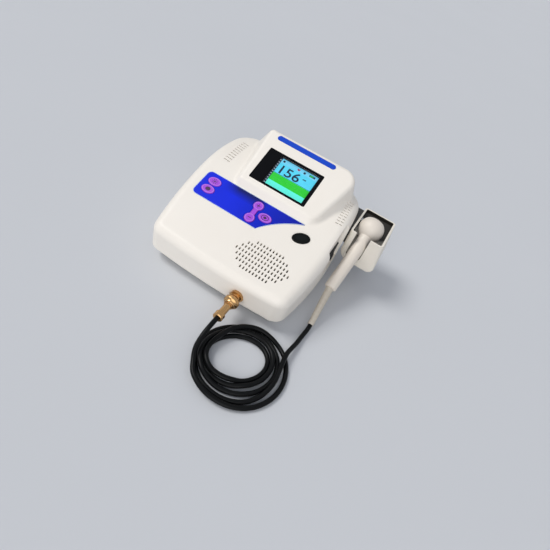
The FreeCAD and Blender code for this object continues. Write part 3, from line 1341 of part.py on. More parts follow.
def probe_holder():
    """An open pocket with a sloping floor, a slot for the handle in its front wall and a skirt below."""
    outer = holder_block(0, HOLDER_BASE, HOLDER_RIM)
    inner = holder_block(HOLDER_WALL, HOLDER_BASE - 1, HOLDER_RIM + HOLDER_WALL)
    pocket = inner.common(above_floor(0))
    skirt = inner.cut(above_floor(-HOLDER_WALL))
    slot_left = HOLDER_LEFT + SLOT_OFFSET
    slot = box((slot_left, HOLDER_FRONT - 1, SLOT_FLOOR),
               (slot_left + SLOT_WIDTH_X, HOLDER_FRONT + 2 * HOLDER_WALL, HOLDER_RIM + 1))
    floor_edges = [edge for edge in slot.Edges
                   if edge.BoundBox.YLength > HOLDER_WALL and edge.BoundBox.ZMax < SLOT_FLOOR + 0.01]
    slot = slot.makeFillet(SLOT_FLOOR_R, floor_edges)
    holes = [rod(SCREW_R + FIT, (HOLDER_LEFT - 1, y, z), X_AXIS, HOLDER_WALL + 2) for y, z in HOLDER_SCREWS]
    return outer.cut(pocket).cut(skirt).cut(Part.makeCompound([slot] + holes))


def holder_bracket(form):
    """A distance block shaped to the casing's curved side."""
    block = box((HOLDER_LEFT - 10 * WALL, BRACKET_Y[0], BRACKET_Z[0]),
                (HOLDER_LEFT, BRACKET_Y[1], BRACKET_Z[1]))
    holes = [rod(SCREW_R + FIT, (0, y, z), X_AXIS, 2 * HOLDER_LEFT) for y, z in HOLDER_SCREWS]
    return block.cut(form).cut(Part.makeCompound(holes))


def holder_screws():
    seat_x = HOLDER_LEFT + HOLDER_WALL
    return Part.makeCompound([screw(SCREW_R, SCREW_HEAD_R, HEAD_THICK, (seat_x, y, z), X_AXIS * -1,
                                    seat_x - wall_x(y) + 3 * WALL) for y, z in HOLDER_SCREWS])


# ---- side and rear sockets ----
def power_switch_frame():
    """A snap-in switch frame: flange on the wall, box inside and a hole for the rocker's trunnions."""
    half_y = FRAME_LENGTH / 2
    half_z = FRAME_HEIGHT / 2
    outer_x = SWITCH_SEAT_X + FRAME_FLANGE
    flange = box((SWITCH_SEAT_X, SWITCH_Y - half_y, SWITCH_Z - half_z),
                 (outer_x, SWITCH_Y + half_y, SWITCH_Z + half_z))
    flange = flange.makeFillet(FRAME_FLANGE, [edge for edge in flange.Edges if edge.BoundBox.XLength > 0.1])
    body = box((SWITCH_SEAT_X - FRAME_DEPTH, SWITCH_Y - half_y + FRAME_BODY, SWITCH_Z - half_z + FRAME_BODY),
               (SWITCH_SEAT_X, SWITCH_Y + half_y - FRAME_BODY, SWITCH_Z + half_z - FRAME_BODY))
    inner = FRAME_BODY + FRAME_WALL
    hollow = box((SWITCH_SEAT_X - FRAME_DEPTH + FRAME_WALL, SWITCH_Y - half_y + inner,
                  SWITCH_Z - half_z + inner),
                 (outer_x + 1, SWITCH_Y + half_y - inner, SWITCH_Z + half_z - inner))
    pivot = (outer_x - ROCK_PIVOT, SWITCH_Y, SWITCH_Z - half_z + FRAME_BODY)
    pin_hole = rod(ROCK_PIN_R + RUN_GAP, pivot, Z_AXIS, FRAME_HEIGHT - 2 * FRAME_BODY)
    return fused([flange, body]).cut(hollow).cut(pin_hole)


def power_rocker():
    """A rocker with a dished cap, shown with its front end pressed in."""
    inner = FRAME_BODY + FRAME_WALL
    half_y = FRAME_LENGTH / 2 - inner - ROCK_GAP
    half_z = FRAME_HEIGHT / 2 - inner - FIT
    outer_x = SWITCH_SEAT_X + FRAME_FLANGE
    pivot_x = outer_x - ROCK_PIVOT
    low = SWITCH_Z - half_z
    rise = half_y * math.sin(math.radians(ROCK_ANGLE)) + ROCK_PIVOT
    root_x = pivot_x - FRAME_DEPTH * 0.4
    corners = [V(pivot_x + rise, SWITCH_Y - half_y, low), V(pivot_x + rise * 0.6, SWITCH_Y, low),
               V(pivot_x + rise, SWITCH_Y + half_y, low), V(pivot_x - 1, SWITCH_Y + half_y, low),
               V(root_x, SWITCH_Y + half_y * 0.3, low), V(root_x, SWITCH_Y - half_y * 0.3, low),
               V(pivot_x - 1, SWITCH_Y - half_y, low)]
    cap = prism_of(polygon(corners), V(0, 0, 2 * half_z))
    pin_low = SWITCH_Z - FRAME_HEIGHT / 2 + FRAME_BODY
    pin = rod(ROCK_PIN_R, (pivot_x, SWITCH_Y, pin_low), Z_AXIS, FRAME_HEIGHT - 2 * FRAME_BODY)
    rocker = fused([cap, pin])
    rocker.rotate(V(pivot_x, SWITCH_Y, 0), Z_AXIS, ROCK_ANGLE)
    return rocker


def headphone_jack():
    """An earphone jack: its bushing passes through the wall from a body inside."""
    inside = JACK_SEAT_X - WALL
    half = JACK_BODY / 2
    body = box((inside - JACK_DEPTH, JACK_Y - half, JACK_Z - half), (inside, JACK_Y + half, JACK_Z + half))
    bushing = rod(JACK_BUSH_R, (inside, JACK_Y, JACK_Z), X_AXIS, WALL + FRAME_FLANGE + 1)
    bore = rod(JACK_BORE_R, (inside - JACK_DEPTH + 1, JACK_Y, JACK_Z), X_AXIS, JACK_DEPTH + 4 * WALL)
    return fused([body, bushing]).cut(bore)


def headphone_nut():
    nut = tube(JACK_NUT_R, JACK_BUSH_R + THREAD_GAP, (JACK_SEAT_X, JACK_Y, JACK_Z), X_AXIS, FRAME_FLANGE)
    outer = [edge for edge in nut.Edges if edge.Closed and edge.BoundBox.YLength > 2 * JACK_NUT_R - 0.1
             and edge.CenterOfMass.x > JACK_SEAT_X + FRAME_FLANGE / 2]
    return nut.makeChamfer(FRAME_FLANGE * 0.3, outer)


def dc_jack():
    """The power inlet in the back wall, with its centre pin."""
    flange = rod(DC_FLANGE_R, (DC_X, DC_SEAT_Y, DC_Z), Y_AXIS, FRAME_FLANGE)
    body = rod(DC_BUSH_R, (DC_X, DC_SEAT_Y - DC_DEPTH, DC_Z), Y_AXIS, DC_DEPTH)
    bore = rod(DC_BORE_R, (DC_X, DC_SEAT_Y - DC_DEPTH + WALL, DC_Z), Y_AXIS, 2 * DC_DEPTH)
    pin = rod(DC_PIN_R, (DC_X, DC_SEAT_Y - DC_DEPTH + WALL / 2, DC_Z), Y_AXIS, DC_DEPTH - WALL)
    return fused([flange, body]).cut(bore).fuse(pin).removeSplitter()


def dc_nut():
    inner_face = DC_SEAT_Y + PANEL_SEAT - WALL
    seat = (DC_X, inner_face - 0.5, DC_Z)
    return tube(DC_FLANGE_R + 1, DC_BUSH_R + THREAD_GAP, seat, FORWARD, FRAME_FLANGE)


# ---- all nodes ----
def build_nodes():
    form = case_form()
    nodes = {
        "upper_shell": upper_shell(form),
        "lower_shell": lower_shell(),
        "rubber_feet": rubber_feet(),
        "case_screws": case_screws(),
        "battery_pack": battery_pack(),
        "battery_cover": battery_cover(),
        "battery_cover_screw": battery_cover_screw(),
        "main_board": main_board(),
        "board_screws": board_screws(),
        "shield_can": shield_can(),
        "keypad_overlay": keypad_overlay(),
        "volume_rocker_key": volume_rocker_key(),
        "oval_button": oval_button(),
        "key_board": key_board(),
        "key_switches": key_switches(),
        "key_board_screws": key_board_screws(),
        "speaker_frame": speaker_frame(),
        "speaker_cone": speaker_cone(),
        "speaker_magnet": speaker_magnet(),
        "speaker_screws": speaker_screws(),
        "display_window": display_window(),
        "lcd_module": lcd_module(),
        "lcd_board": lcd_board(),
        "lcd_screws": lcd_screws(),
        "accent_strip": accent_strip(),
        "bnc_socket": bnc_socket(),
        "bnc_washer": bnc_washer(),
        "bnc_nut": bnc_nut(),
        "plug_coupling_nut": plug_coupling_nut(),
        "plug_body": plug_body(),
        "plug_clamp_nut": plug_clamp_nut(),
        "cable_lead": cord_tube("cable_lead", lead_route()),
        "cable_tail": cord_tube("cable_tail", [on_socket(CLAMP_END)] + TAIL_ROUTE),
        "cable_coil": cable_coil(),
        "probe_housing": probe_housing(),
        "probe_face": probe_face(),
        "probe_crystals": probe_crystals(),
        "probe_strain_relief": probe_strain_relief(),
        "probe_holder": probe_holder(),
        "holder_bracket": holder_bracket(form),
        "holder_screws": holder_screws(),
        "power_switch_frame": power_switch_frame(),
        "power_rocker": power_rocker(),
        "headphone_jack": headphone_jack(),
        "headphone_nut": headphone_nut(),
        "dc_jack": dc_jack(),
        "dc_nut": dc_nut(),
    }
    for name in KEY_SITES:
        nodes[name] = deck_key(name)
    return nodes


def footprint_centre(nodes):
    """The middle of the object's own box in plan, the cord left out."""
    bound = FreeCAD.BoundBox()
    for name, shape in nodes.items():
        if name not in CORD_NODES:
            bound.add(shape.optimalBoundingBox(False))
    return V(bound.Center.x, bound.Center.y, 0)


def main():
    os.makedirs("parts", exist_ok=True)
    nodes = build_nodes()
    origin = footprint_centre(nodes)
    print("origin", round(origin.x, 3), round(origin.y, 3))
    for name, shape in nodes.items():
        shape.translate(origin * -1)
        shape.exportStep("parts/" + name + ".step")


main()
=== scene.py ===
import json
import math

import bpy
from mathutils import Matrix, Vector


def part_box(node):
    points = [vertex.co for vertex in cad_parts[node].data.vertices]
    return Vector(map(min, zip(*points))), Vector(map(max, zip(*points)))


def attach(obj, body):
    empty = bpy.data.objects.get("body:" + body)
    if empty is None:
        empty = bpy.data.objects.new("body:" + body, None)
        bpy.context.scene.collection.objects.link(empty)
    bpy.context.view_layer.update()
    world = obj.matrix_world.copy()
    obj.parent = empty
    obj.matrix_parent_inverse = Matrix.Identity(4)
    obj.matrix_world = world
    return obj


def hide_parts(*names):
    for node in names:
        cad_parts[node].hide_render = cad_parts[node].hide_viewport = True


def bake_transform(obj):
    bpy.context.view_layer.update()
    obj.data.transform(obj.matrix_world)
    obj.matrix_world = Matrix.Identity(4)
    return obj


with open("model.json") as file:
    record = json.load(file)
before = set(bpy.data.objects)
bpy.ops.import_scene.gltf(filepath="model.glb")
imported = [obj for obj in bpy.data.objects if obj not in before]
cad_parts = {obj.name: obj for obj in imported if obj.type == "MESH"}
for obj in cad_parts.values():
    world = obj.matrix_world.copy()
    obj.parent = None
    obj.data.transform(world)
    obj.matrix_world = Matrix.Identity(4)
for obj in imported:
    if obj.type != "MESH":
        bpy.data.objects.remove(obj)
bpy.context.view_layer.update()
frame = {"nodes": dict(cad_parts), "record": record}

# Looks, loose cable, marks and display of the desktop fetal doppler monitor, in metres.
# Places are written as in the part's source: X = 0 is the casing's centre plane, Y runs from the
# front wall to the back and Z = 0 is the floor. DRAWN moves them to the frame. It is found from the
# bayonet socket's washer, which is centred on the socket and lies against its seat.
SOCKET_X = 0.0287
SOCKET_SEAT_Y = -0.0042
WASHER_LOW, WASHER_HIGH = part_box("bnc_washer")
DRAWN = Vector(((WASHER_LOW.x + WASHER_HIGH.x) / 2 - SOCKET_X, WASHER_HIGH.y - SOCKET_SEAT_Y, 0))

# ---- the two sloping planes of the casing ----
DECK_TILT = math.radians(18.87)
DECK_Z = 0.03895
FACE_TILT = math.radians(24.69)
FACE_Y = 0.082
FACE_Z = 0.073


def plane_matrix(tilt, y, z):
    """The frame of a sloping plane: X across, Y up the slope, Z out of it."""
    return Matrix.Translation(DRAWN + Vector((0, y, z))) @ Matrix.Rotation(tilt, 4, "X")


DECK = plane_matrix(DECK_TILT, 0, DECK_Z)
FACE = plane_matrix(FACE_TILT, FACE_Y, FACE_Z)


# ---- objects and meshes ----
def add_object(name, data):
    """A new object in the scene."""
    added = bpy.data.objects.new(name, data)
    bpy.context.scene.collection.objects.link(added)
    return added


def add_piece(name, mesh, body):
    """A piece that rides on a body."""
    piece = add_object(name, mesh)
    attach(piece, body)
    return piece


def dress(mesh, material):
    """Gives a mesh one finish."""
    mesh.materials.clear()
    mesh.materials.append(material)


def smooth(mesh):
    for polygon in mesh.polygons:
        polygon.use_smooth = True


def new_mesh(name, points, faces, material):
    mesh = bpy.data.meshes.new(name)
    mesh.from_pydata(points, [], faces)
    dress(mesh, material)
    return mesh


def closed_band(name, first, second, material):
    """A closed band of faces between two rows of points."""
    count = len(first)
    faces = [(i, (i + 1) % count, count + (i + 1) % count, count + i) for i in range(count)]
    return new_mesh(name, first + second, faces, material)


def mesh_of(name, curve):
    """The mesh of a curve or of type."""
    drawn = bpy.data.objects.new(name, curve)
    mesh = bpy.data.meshes.new_from_object(drawn)
    bpy.data.objects.remove(drawn)
    return mesh


# ---- camera ----
CAMERA_PLACE = (0.082379, -0.302626, 0.29718)
CAMERA_AZIMUTH = math.radians(12.36)
CAMERA_ELEVATION = math.radians(44.87)
CAMERA_ROLL = math.radians(22.71)
CAMERA_LENS = 26.18
SENSOR_WIDTH = 36


def make_camera():
    """The photo's own view: place, direction, roll and lens."""
    data = bpy.data.cameras.new("camera")
    data.sensor_width = SENSOR_WIDTH
    data.lens = CAMERA_LENS
    camera = add_object("camera", data)
    sin_a, cos_a = math.sin(CAMERA_AZIMUTH), math.cos(CAMERA_AZIMUTH)
    sin_e, cos_e = math.sin(CAMERA_ELEVATION), math.cos(CAMERA_ELEVATION)
    back = Vector((sin_a * cos_e, -cos_a * cos_e, sin_e))
    level = Vector((cos_a, sin_a, 0))
    upright = back.cross(level)
    right = math.cos(CAMERA_ROLL) * level + math.sin(CAMERA_ROLL) * upright
    up = -math.sin(CAMERA_ROLL) * level + math.cos(CAMERA_ROLL) * upright
    axes = Matrix((right, up, back)).transposed().to_4x4()
    camera.matrix_world = Matrix.Translation(CAMERA_PLACE) @ axes
    bpy.context.scene.camera = camera


# ---- nodes of the materials ----
# A mix node's sockets for colours share their names with those for numbers, so they go by number.
MIX_SHARE = 0
MIX_FIRST = 6
MIX_SECOND = 7
MIX_RESULT = 2


def new_material(name):
    """A node material, returned with its nodes, links, shader and object coordinates."""
    material = bpy.data.materials.new(name)
    material.use_nodes = True
    nodes = material.node_tree.nodes
    shader = nodes["Principled BSDF"]
    place = nodes.new("ShaderNodeTexCoord").outputs["Object"]
    return material, nodes, material.node_tree.links, shader, place


def give(links, socket, value):
    """Links a socket to another one, or sets it to a fixed value."""
    if isinstance(value, bpy.types.NodeSocket):
        links.new(value, socket)
    else:
        socket.default_value = value


def noise(nodes, links, place, scale, detail=3.0):
    texture = nodes.new("ShaderNodeTexNoise")
    texture.inputs["Scale"].default_value = scale
    texture.inputs["Detail"].default_value = detail
    links.new(place, texture.inputs["Vector"])
    return texture.outputs["Fac"]


def blend_colours(nodes, links, share, first, second):
    """Mixes two colours, given as values or as sockets."""
    mix = nodes.new("ShaderNodeMix")
    mix.data_type = "RGBA"
    for colour, index in ((first, MIX_FIRST), (second, MIX_SECOND)):
        give(links, mix.inputs[index], (*colour, 1) if isinstance(colour, tuple) else colour)
    links.new(share, mix.inputs[MIX_SHARE])
    return mix.outputs[MIX_RESULT]


def mix_shaders(nodes, links, share, first, second):
    """Mixes two shaders by a socket or a number."""
    mix = nodes.new("ShaderNodeMixShader")
    give(links, mix.inputs["Fac"], share)
    links.new(first, mix.inputs[1])
    links.new(second, mix.inputs[2])
    return mix.outputs["Shader"]


def number_step(nodes, links, operation, first, second):
    """One operation on a socket and a socket or a number."""
    step = nodes.new("ShaderNodeMath")
    step.operation = operation
    links.new(first, step.inputs[0])
    give(links, step.inputs[1], second)
    return step.outputs["Value"]


def product(nodes, links, first, second):
    return number_step(nodes, links, "MULTIPLY", first, second)


def vector_step(nodes, links, operation, first, second=(0, 0, 0)):
    """One operation on vectors, given as values or as sockets; returns the node's outputs."""
    step = nodes.new("ShaderNodeVectorMath")
    step.operation = operation
    give(links, step.inputs[0], first)
    give(links, step.inputs[1], second)
    return step.outputs


def ramp(nodes, links, value, start, end):
    """0 up to the start and 1 from the end on."""
    spread = nodes.new("ShaderNodeMapRange")
    spread.inputs["From Min"].default_value = start
    spread.inputs["From Max"].default_value = end
    links.new(value, spread.inputs["Value"])
    return spread.outputs["Result"]


def along(nodes, links, place, direction, start, end):
    """0 before the start and 1 after the end, measured along a direction."""
    reach = vector_step(nodes, links, "DOT_PRODUCT", place, direction)["Value"]
    return ramp(nodes, links, reach, start, end)


def add_bump(nodes, links, shader, height, strength, distance):
    bump = nodes.new("ShaderNodeBump")
    bump.inputs["Strength"].default_value = strength
    bump.inputs["Distance"].default_value = distance
    links.new(height, bump.inputs["Height"])
    links.new(bump.outputs["Normal"], shader.inputs["Normal"])


def set_gloss(shader, roughness, specular):
    shader.inputs["Roughness"].default_value = roughness
    shader.inputs["Specular IOR Level"].default_value = specular


# ---- materials ----
PLAIN_SPECULAR = 0.5
GRAIN_DETAIL = 6.0
GRAIN_DEPTH = 0.0002

OVERLAY_BLUE = (0.003, 0.024, 0.78)
OVERLAY_NAVY = (0.002, 0.010, 0.30)
OVERLAY_BAND = (0.002, 0.008, 0.11)
FADE_X = (-0.030, 0.046)                   # the blue turns to navy between these two
BAND_X = (-0.046, -0.030, -0.006, 0.004)   # the dark band starts, is full, starts to fade and ends
BAND_UP = (0.0690, 0.0790)
FILM_DETAIL = 4.0
FILM_DEPTH = 0.0001
SPECKLE_SHARE = 0.25

WINDOW_X = 0.002
WINDOW_UP = 0.0264
LIT_X = 0.0071
LIT_HALF_WIDTH = 0.0226
LIT_HALF_HEIGHT = 0.01845
TOP_MASK = 0.0006                          # the print covers this much of the lit area's top
PRINT_BLUR = 0.00005
SHEET_GLOSS = 0.02                         # share of the clear sheet that mirrors
SHEET_ROUGHNESS = 0.06

SHELL_COLOURS = ((0.84, 0.79, 0.70), (0.80, 0.75, 0.655))
# Near-black colour for the faces of the holder's cup that look inwards; floors and outer faces keep the
# shell colour.
INWARD_DARK_COLOURS = ((0.010, 0.008, 0.006), (0.018, 0.014, 0.010))
INWARD_DARK_FACING = (0.12, 0.22)               # how far a face looks inwards where the dark colour starts


def moulded(name, colour, second, roughness, grain=900, strength=0.15, patches=35, metallic=0.0,
            specular=PLAIN_SPECULAR):
    """A finish with broad, faint patches of a second colour and a fine grain."""
    material, nodes, links, shader, place = new_material(name)
    patch = noise(nodes, links, place, patches)
    links.new(blend_colours(nodes, links, patch, colour, second), shader.inputs["Base Color"])
    set_gloss(shader, roughness, specular)
    shader.inputs["Metallic"].default_value = metallic
    height = noise(nodes, links, place, grain, GRAIN_DETAIL)
    add_bump(nodes, links, shader, height, strength, GRAIN_DEPTH)
    return material


def overlay_finish():
    """Printed film: royal blue, navy towards its tip and along the middle of its upper edge."""
    material, nodes, links, shader, place = new_material("overlay_film")
    across = (1, 0, 0)
    upward = DECK.to_3x3() @ Vector((0, 1, 0))
    fade = [(DECK @ Vector((x, 0, 0))).x for x in FADE_X]
    edges = [(DECK @ Vector((x, 0, 0))).x for x in BAND_X]
    rise = [(DECK @ Vector((0, up, 0))).dot(upward) for up in BAND_UP]
    share = along(nodes, links, place, across, fade[0], fade[1])
    colour = blend_colours(nodes, links, share, OVERLAY_BLUE, OVERLAY_NAVY)
    band = product(nodes, links, along(nodes, links, place, upward, rise[0], rise[1]),
                   along(nodes, links, place, across, edges[0], edges[1]))
    band = product(nodes, links, band, along(nodes, links, place, across, edges[3], edges[2]))
    colour = blend_colours(nodes, links, band, colour, OVERLAY_BAND)
    speckle = product(nodes, links, noise(nodes, links, place, scale=60), SPECKLE_SHARE)
    links.new(blend_colours(nodes, links, speckle, colour, OVERLAY_NAVY), shader.inputs["Base Color"])
    set_gloss(shader, roughness=0.42, specular=0.18)
    height = noise(nodes, links, place, scale=1500, detail=FILM_DETAIL)
    add_bump(nodes, links, shader, height, strength=0.06, distance=FILM_DEPTH)
    return material


def window_finish():
    """Clear sheet, printed black from behind except over the lit area."""
    material, nodes, links, shader, place = new_material("printed_window")
    across = FACE.to_3x3() @ Vector((1, 0, 0))
    upward = FACE.to_3x3() @ Vector((0, 1, 0))
    centre = FACE @ Vector((LIT_X, WINDOW_UP, 0))
    clear = None
    for direction, low, high in ((across, -LIT_HALF_WIDTH, LIT_HALF_WIDTH),
                                 (upward, -LIT_HALF_HEIGHT, LIT_HALF_HEIGHT - TOP_MASK)):
        middle = centre.dot(direction)
        for edge, inward in ((middle + low, PRINT_BLUR), (middle + high, -PRINT_BLUR)):
            inside = along(nodes, links, place, direction, edge - inward, edge + inward)
            clear = inside if clear is None else product(nodes, links, clear, inside)
    smear = noise(nodes, links, place, scale=90)
    links.new(blend_colours(nodes, links, smear, (0.003, 0.003, 0.004), (0.006, 0.006, 0.008)),
              shader.inputs["Base Color"])
    set_gloss(shader, roughness=0.15, specular=0.06)
    glass = nodes.new("ShaderNodeBsdfTransparent")
    gloss = nodes.new("ShaderNodeBsdfGlossy")
    gloss.inputs["Roughness"].default_value = SHEET_ROUGHNESS
    sheet = mix_shaders(nodes, links, SHEET_GLOSS, glass.outputs["BSDF"], gloss.outputs["BSDF"])
    both = mix_shaders(nodes, links, clear, shader.outputs["BSDF"], sheet)
    links.new(both, nodes["Material Output"].inputs["Surface"])
    return material


def screen_finish(name, colour, second, strength):
    """A lit patch of the display."""
    material, nodes, links, shader, place = new_material(name)
    tint = blend_colours(nodes, links, noise(nodes, links, place, scale=220), colour, second)
    links.new(tint, shader.inputs["Base Color"])
    links.new(tint, shader.inputs["Emission Color"])
    shader.inputs["Emission Strength"].default_value = strength
    set_gloss(shader, roughness=0.4, specular=0.08)
    return material


def holder_finish():
    """The holder's white shell, near-black on the faces that look inwards."""
    material, nodes, links, shader, place = new_material("holder_abs")
    low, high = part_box("probe_holder")
    middle = ((low.x + high.x) / 2, (low.y + high.y) / 2, 0)
    inward = vector_step(nodes, links, "SUBTRACT", middle, place)["Vector"]
    level = vector_step(nodes, links, "MULTIPLY", inward, (1, 1, 0))["Vector"]
    direction = vector_step(nodes, links, "NORMALIZE", level)["Vector"]
    normal = nodes.new("ShaderNodeTexCoord").outputs["Normal"]
    facing = vector_step(nodes, links, "DOT_PRODUCT", direction, normal)["Value"]
    # Faces that look inwards are coloured near-black.
    inward_share = ramp(nodes, links, facing, INWARD_DARK_FACING[0], INWARD_DARK_FACING[1])
    patch = noise(nodes, links, place, scale=40)
    shell = blend_colours(nodes, links, patch, *SHELL_COLOURS)
    inward_dark = blend_colours(nodes, links, patch, *INWARD_DARK_COLOURS)
    links.new(blend_colours(nodes, links, inward_share, shell, inward_dark), shader.inputs["Base Color"])
    set_gloss(shader, roughness=0.48, specular=PLAIN_SPECULAR)
    height = noise(nodes, links, place, scale=1100, detail=GRAIN_DETAIL)
    add_bump(nodes, links, shader, height, strength=0.10, distance=GRAIN_DEPTH)
    return material


def make_materials():
    """A finish for each material slot of the record."""
    return {
        "casing": moulded("casing_abs", (0.88, 0.84, 0.77), (0.86, 0.81, 0.735),
                          roughness=0.42, grain=1100, strength=0.10),
        "feet": moulded("feet_rubber", (0.035, 0.035, 0.037), (0.05, 0.05, 0.052),
                        roughness=0.75),
        "screw_steel": moulded("plated_steel", (0.55, 0.55, 0.56), (0.45, 0.45, 0.46),
                               roughness=0.32, metallic=1.0),
        "battery_wrap": moulded("battery_wrap", (0.03, 0.10, 0.32), (0.03, 0.08, 0.26),
                                roughness=0.35),
        "circuit_board": moulded("circuit_board", (0.02, 0.19, 0.07), (0.015, 0.14, 0.05),
                                 roughness=0.45, patches=300),
        "shield": moulded("tinned_can", (0.62, 0.62, 0.60), (0.52, 0.52, 0.50),
                          roughness=0.35, metallic=1.0),
        "overlay_blue": overlay_finish(),
        "key_violet": moulded("key_violet", (0.42, 0.085, 0.72), (0.35, 0.065, 0.68),
                              roughness=0.42, specular=0.3),
        "button_black": moulded("button_black", (0.003, 0.004, 0.004), (0.005, 0.006, 0.006),
                                roughness=0.30, strength=0.03, specular=0.10),
        "switch_black": moulded("switch_black", (0.014, 0.014, 0.015), (0.022, 0.022, 0.024),
                                roughness=0.38),
        "speaker_metal": moulded("speaker_metal", (0.10, 0.10, 0.11), (0.14, 0.14, 0.15),
                                 roughness=0.40, metallic=0.8),
        "speaker_paper": moulded("speaker_paper", (0.035, 0.034, 0.033), (0.05, 0.048, 0.046),
                                 roughness=0.85, grain=700, strength=0.5),
        "window_clear": window_finish(),
        "display": moulded("display_frame", (0.012, 0.012, 0.014), (0.02, 0.02, 0.022),
                           roughness=0.5),
        "accent_blue": moulded("accent_blue", (0.009, 0.070, 0.58), (0.008, 0.055, 0.50),
                               roughness=0.30, strength=0.03, specular=0.2),
        "brass": moulded("gilt_brass", (0.66, 0.42, 0.20), (0.56, 0.33, 0.14),
                         roughness=0.26, grain=700, strength=0.08, metallic=1.0),
        "cable_black": moulded("cable_jacket", (0.003, 0.0035, 0.004), (0.006, 0.0065, 0.007),
                               roughness=0.30, grain=1300, strength=0.08, specular=0.12),
        "probe_shell": moulded("probe_shell", (0.76, 0.70, 0.62), (0.72, 0.655, 0.575),
                               roughness=0.44, grain=1100, strength=0.10),
        "probe_lens": moulded("probe_lens", (0.68, 0.66, 0.61), (0.63, 0.61, 0.56),
                              roughness=0.30),
        "crystal": moulded("crystal", (0.55, 0.53, 0.48), (0.45, 0.43, 0.40),
                           roughness=0.5),
        "relief": moulded("relief_rubber", (0.60, 0.55, 0.47), (0.54, 0.49, 0.41),
                          roughness=0.55),
        "holder": holder_finish(),
        # The mount is near-black so that the gap between the casing and the holder reads dark: this colour
        # is painted shade.
        "holder_mount": moulded("holder_mount", (0.020, 0.019, 0.018), (0.030, 0.028, 0.026),
                                roughness=0.55),
    }


def finish_nodes(materials):
    """Gives every CAD node the finish of its slot."""
    for part in frame["record"]["subparts"]:
        dress(frame["nodes"][part["node"]].data, materials[part["material_slot"]])


# ---- cable: one cord from the probe's boot, round the coil and up to the plug ----
CABLE_R = 0.0022
TABLE_HEIGHT = 1.03 * CABLE_R              # height of a turn's centre line on the table
CLEARANCE = 0.0050                         # between the centre lines of two turns that rest together
COIL_CENTRE = Vector((0.0640, -0.0490))
COIL_R = 0.0412
EYE_CENTRE = Vector((0.0605, -0.0485))
EYE_HALF_LENGTH = 0.0270
EYE_HALF_WIDTH = 0.0206
EYE_TURN = math.radians(39)
FIRST_ANGLE = math.radians(-60)
TURN_STEP = math.radians(24)
OUTWARD = 1 / (0.75 + 0.25 * math.cos(TURN_STEP))  # a quadratic spline's control points over its curve
TURNS_START = -0.22
TURNS_END = 4.21
LANES = (0.80, 0.48, 0.20, 0.0)            # lane at each whole turn, until the turns lie at the eye
LEAD_IN = 0.9                              # the lane's growth per turn before the first turn
CROSSING = (3.30, 3.72)                    # turns between which the cord crosses out to the rim
LAID = (0, 2, 1, 3, 3)                     # how late each turn is laid
LEAD_LAID = 4
LEAD = [(0.0979, 0.0256, 0.0050), (0.09827, 0.0203, 0.0040), (0.09703, 0.01012, 0.0037),
        (0.09639, -0.00081, 0.0044), (0.0952, -0.0100, 0.0062), (0.0938, -0.0200, 0.0076)]
TAIL = [(0.0340, -0.0745, 0.0070), (0.0289, -0.0660, 0.0106), (0.0282, -0.0560, 0.0164),
        (0.0287, -0.0452, 0.0200), (0.0287, -0.0367, 0.0200)]


def lane(turns):
    """How far out a turn lies: 0 at the eye and 1 at the rim."""
    if turns < 0:
        return LANES[0] + LEAD_IN * turns
    if turns < len(LANES) - 1:
        index = int(turns)
        return LANES[index] + (LANES[index + 1] - LANES[index]) * (turns - index)
    share = min(max((turns - CROSSING[0]) / (CROSSING[1] - CROSSING[0]), 0), 1)
    return share * share * (3 - 2 * share)


def eye_radius(angle):
    """From the coil's centre to the oval eye's rim."""
    turn = Matrix.Rotation(-EYE_TURN, 2)
    start = turn @ (COIL_CENTRE - EYE_CENTRE)
    way = turn @ Vector((math.cos(angle), math.sin(angle)))
    start = Vector((start.x / EYE_HALF_LENGTH, start.y / EYE_HALF_WIDTH))
    way = Vector((way.x / EYE_HALF_LENGTH, way.y / EYE_HALF_WIDTH))
    half = start.dot(way)
    return (math.sqrt(half * half - way.dot(way) * (start.dot(start) - 1)) - half) / way.dot(way)


def coil_angle(turns):
    return FIRST_ANGLE - 2 * math.pi * turns


def coil_radius(turns):
    inner = eye_radius(coil_angle(turns))
    return inner + lane(turns) * (COIL_R - inner)


def laid(turns):
    """How late this stretch is laid: a turn rests on those that were laid before it."""
    return LEAD_LAID if turns < 0 else LAID[int(turns)]


def coil_height(turns):
    """A turn lies on the table or in the groove between the turns below it."""
    height = TABLE_HEIGHT
    share = turns - math.floor(turns)
    for index in range(math.floor(TURNS_START), len(LAID)):
        other = index + share
        if TURNS_START <= other <= TURNS_END and laid(other) < laid(turns):
            apart = abs(coil_radius(other) - coil_radius(turns))
            if apart < CLEARANCE:
                height = max(height, coil_height(other) + math.sqrt(CLEARANCE ** 2 - apart ** 2))
    return height


def coil_point(turns):
    """A control point of the coil, a little outside the curve."""
    angle = coil_angle(turns)
    radius = coil_radius(turns) * OUTWARD
    return Vector((COIL_CENTRE.x + radius * math.cos(angle), COIL_CENTRE.y + radius * math.sin(angle),
                   coil_height(turns)))


def cable_route():
    """Control points: the lead, the coil's loose turns and the tail."""
    step = TURN_STEP / (2 * math.pi)
    count = int((TURNS_END - TURNS_START) / step) + 1
    coil = [coil_point(TURNS_START + index * step) for index in range(count)]
    lead = [Vector(point) for point in LEAD]
    tail = [Vector(point) for point in TAIL]
    return [point + DRAWN for point in lead + coil + tail]


def spline_mesh(name, route, bevel):
    """The mesh of a smooth curve: a bare line, or a tube where it has a bevel."""
    curve = bpy.data.curves.new(name, "CURVE")
    curve.dimensions = "3D"
    curve.resolution_u = 8
    curve.bevel_depth = bevel
    curve.bevel_resolution = 5
    curve.use_fill_caps = bevel > 0
    spline = curve.splines.new("NURBS")
    spline.points.add(len(route) - 1)
    for point, place in zip(spline.points, route):
        point.co = (*place, 1)
    spline.order_u = 3
    spline.use_endpoint_u = True
    return mesh_of(name, curve)


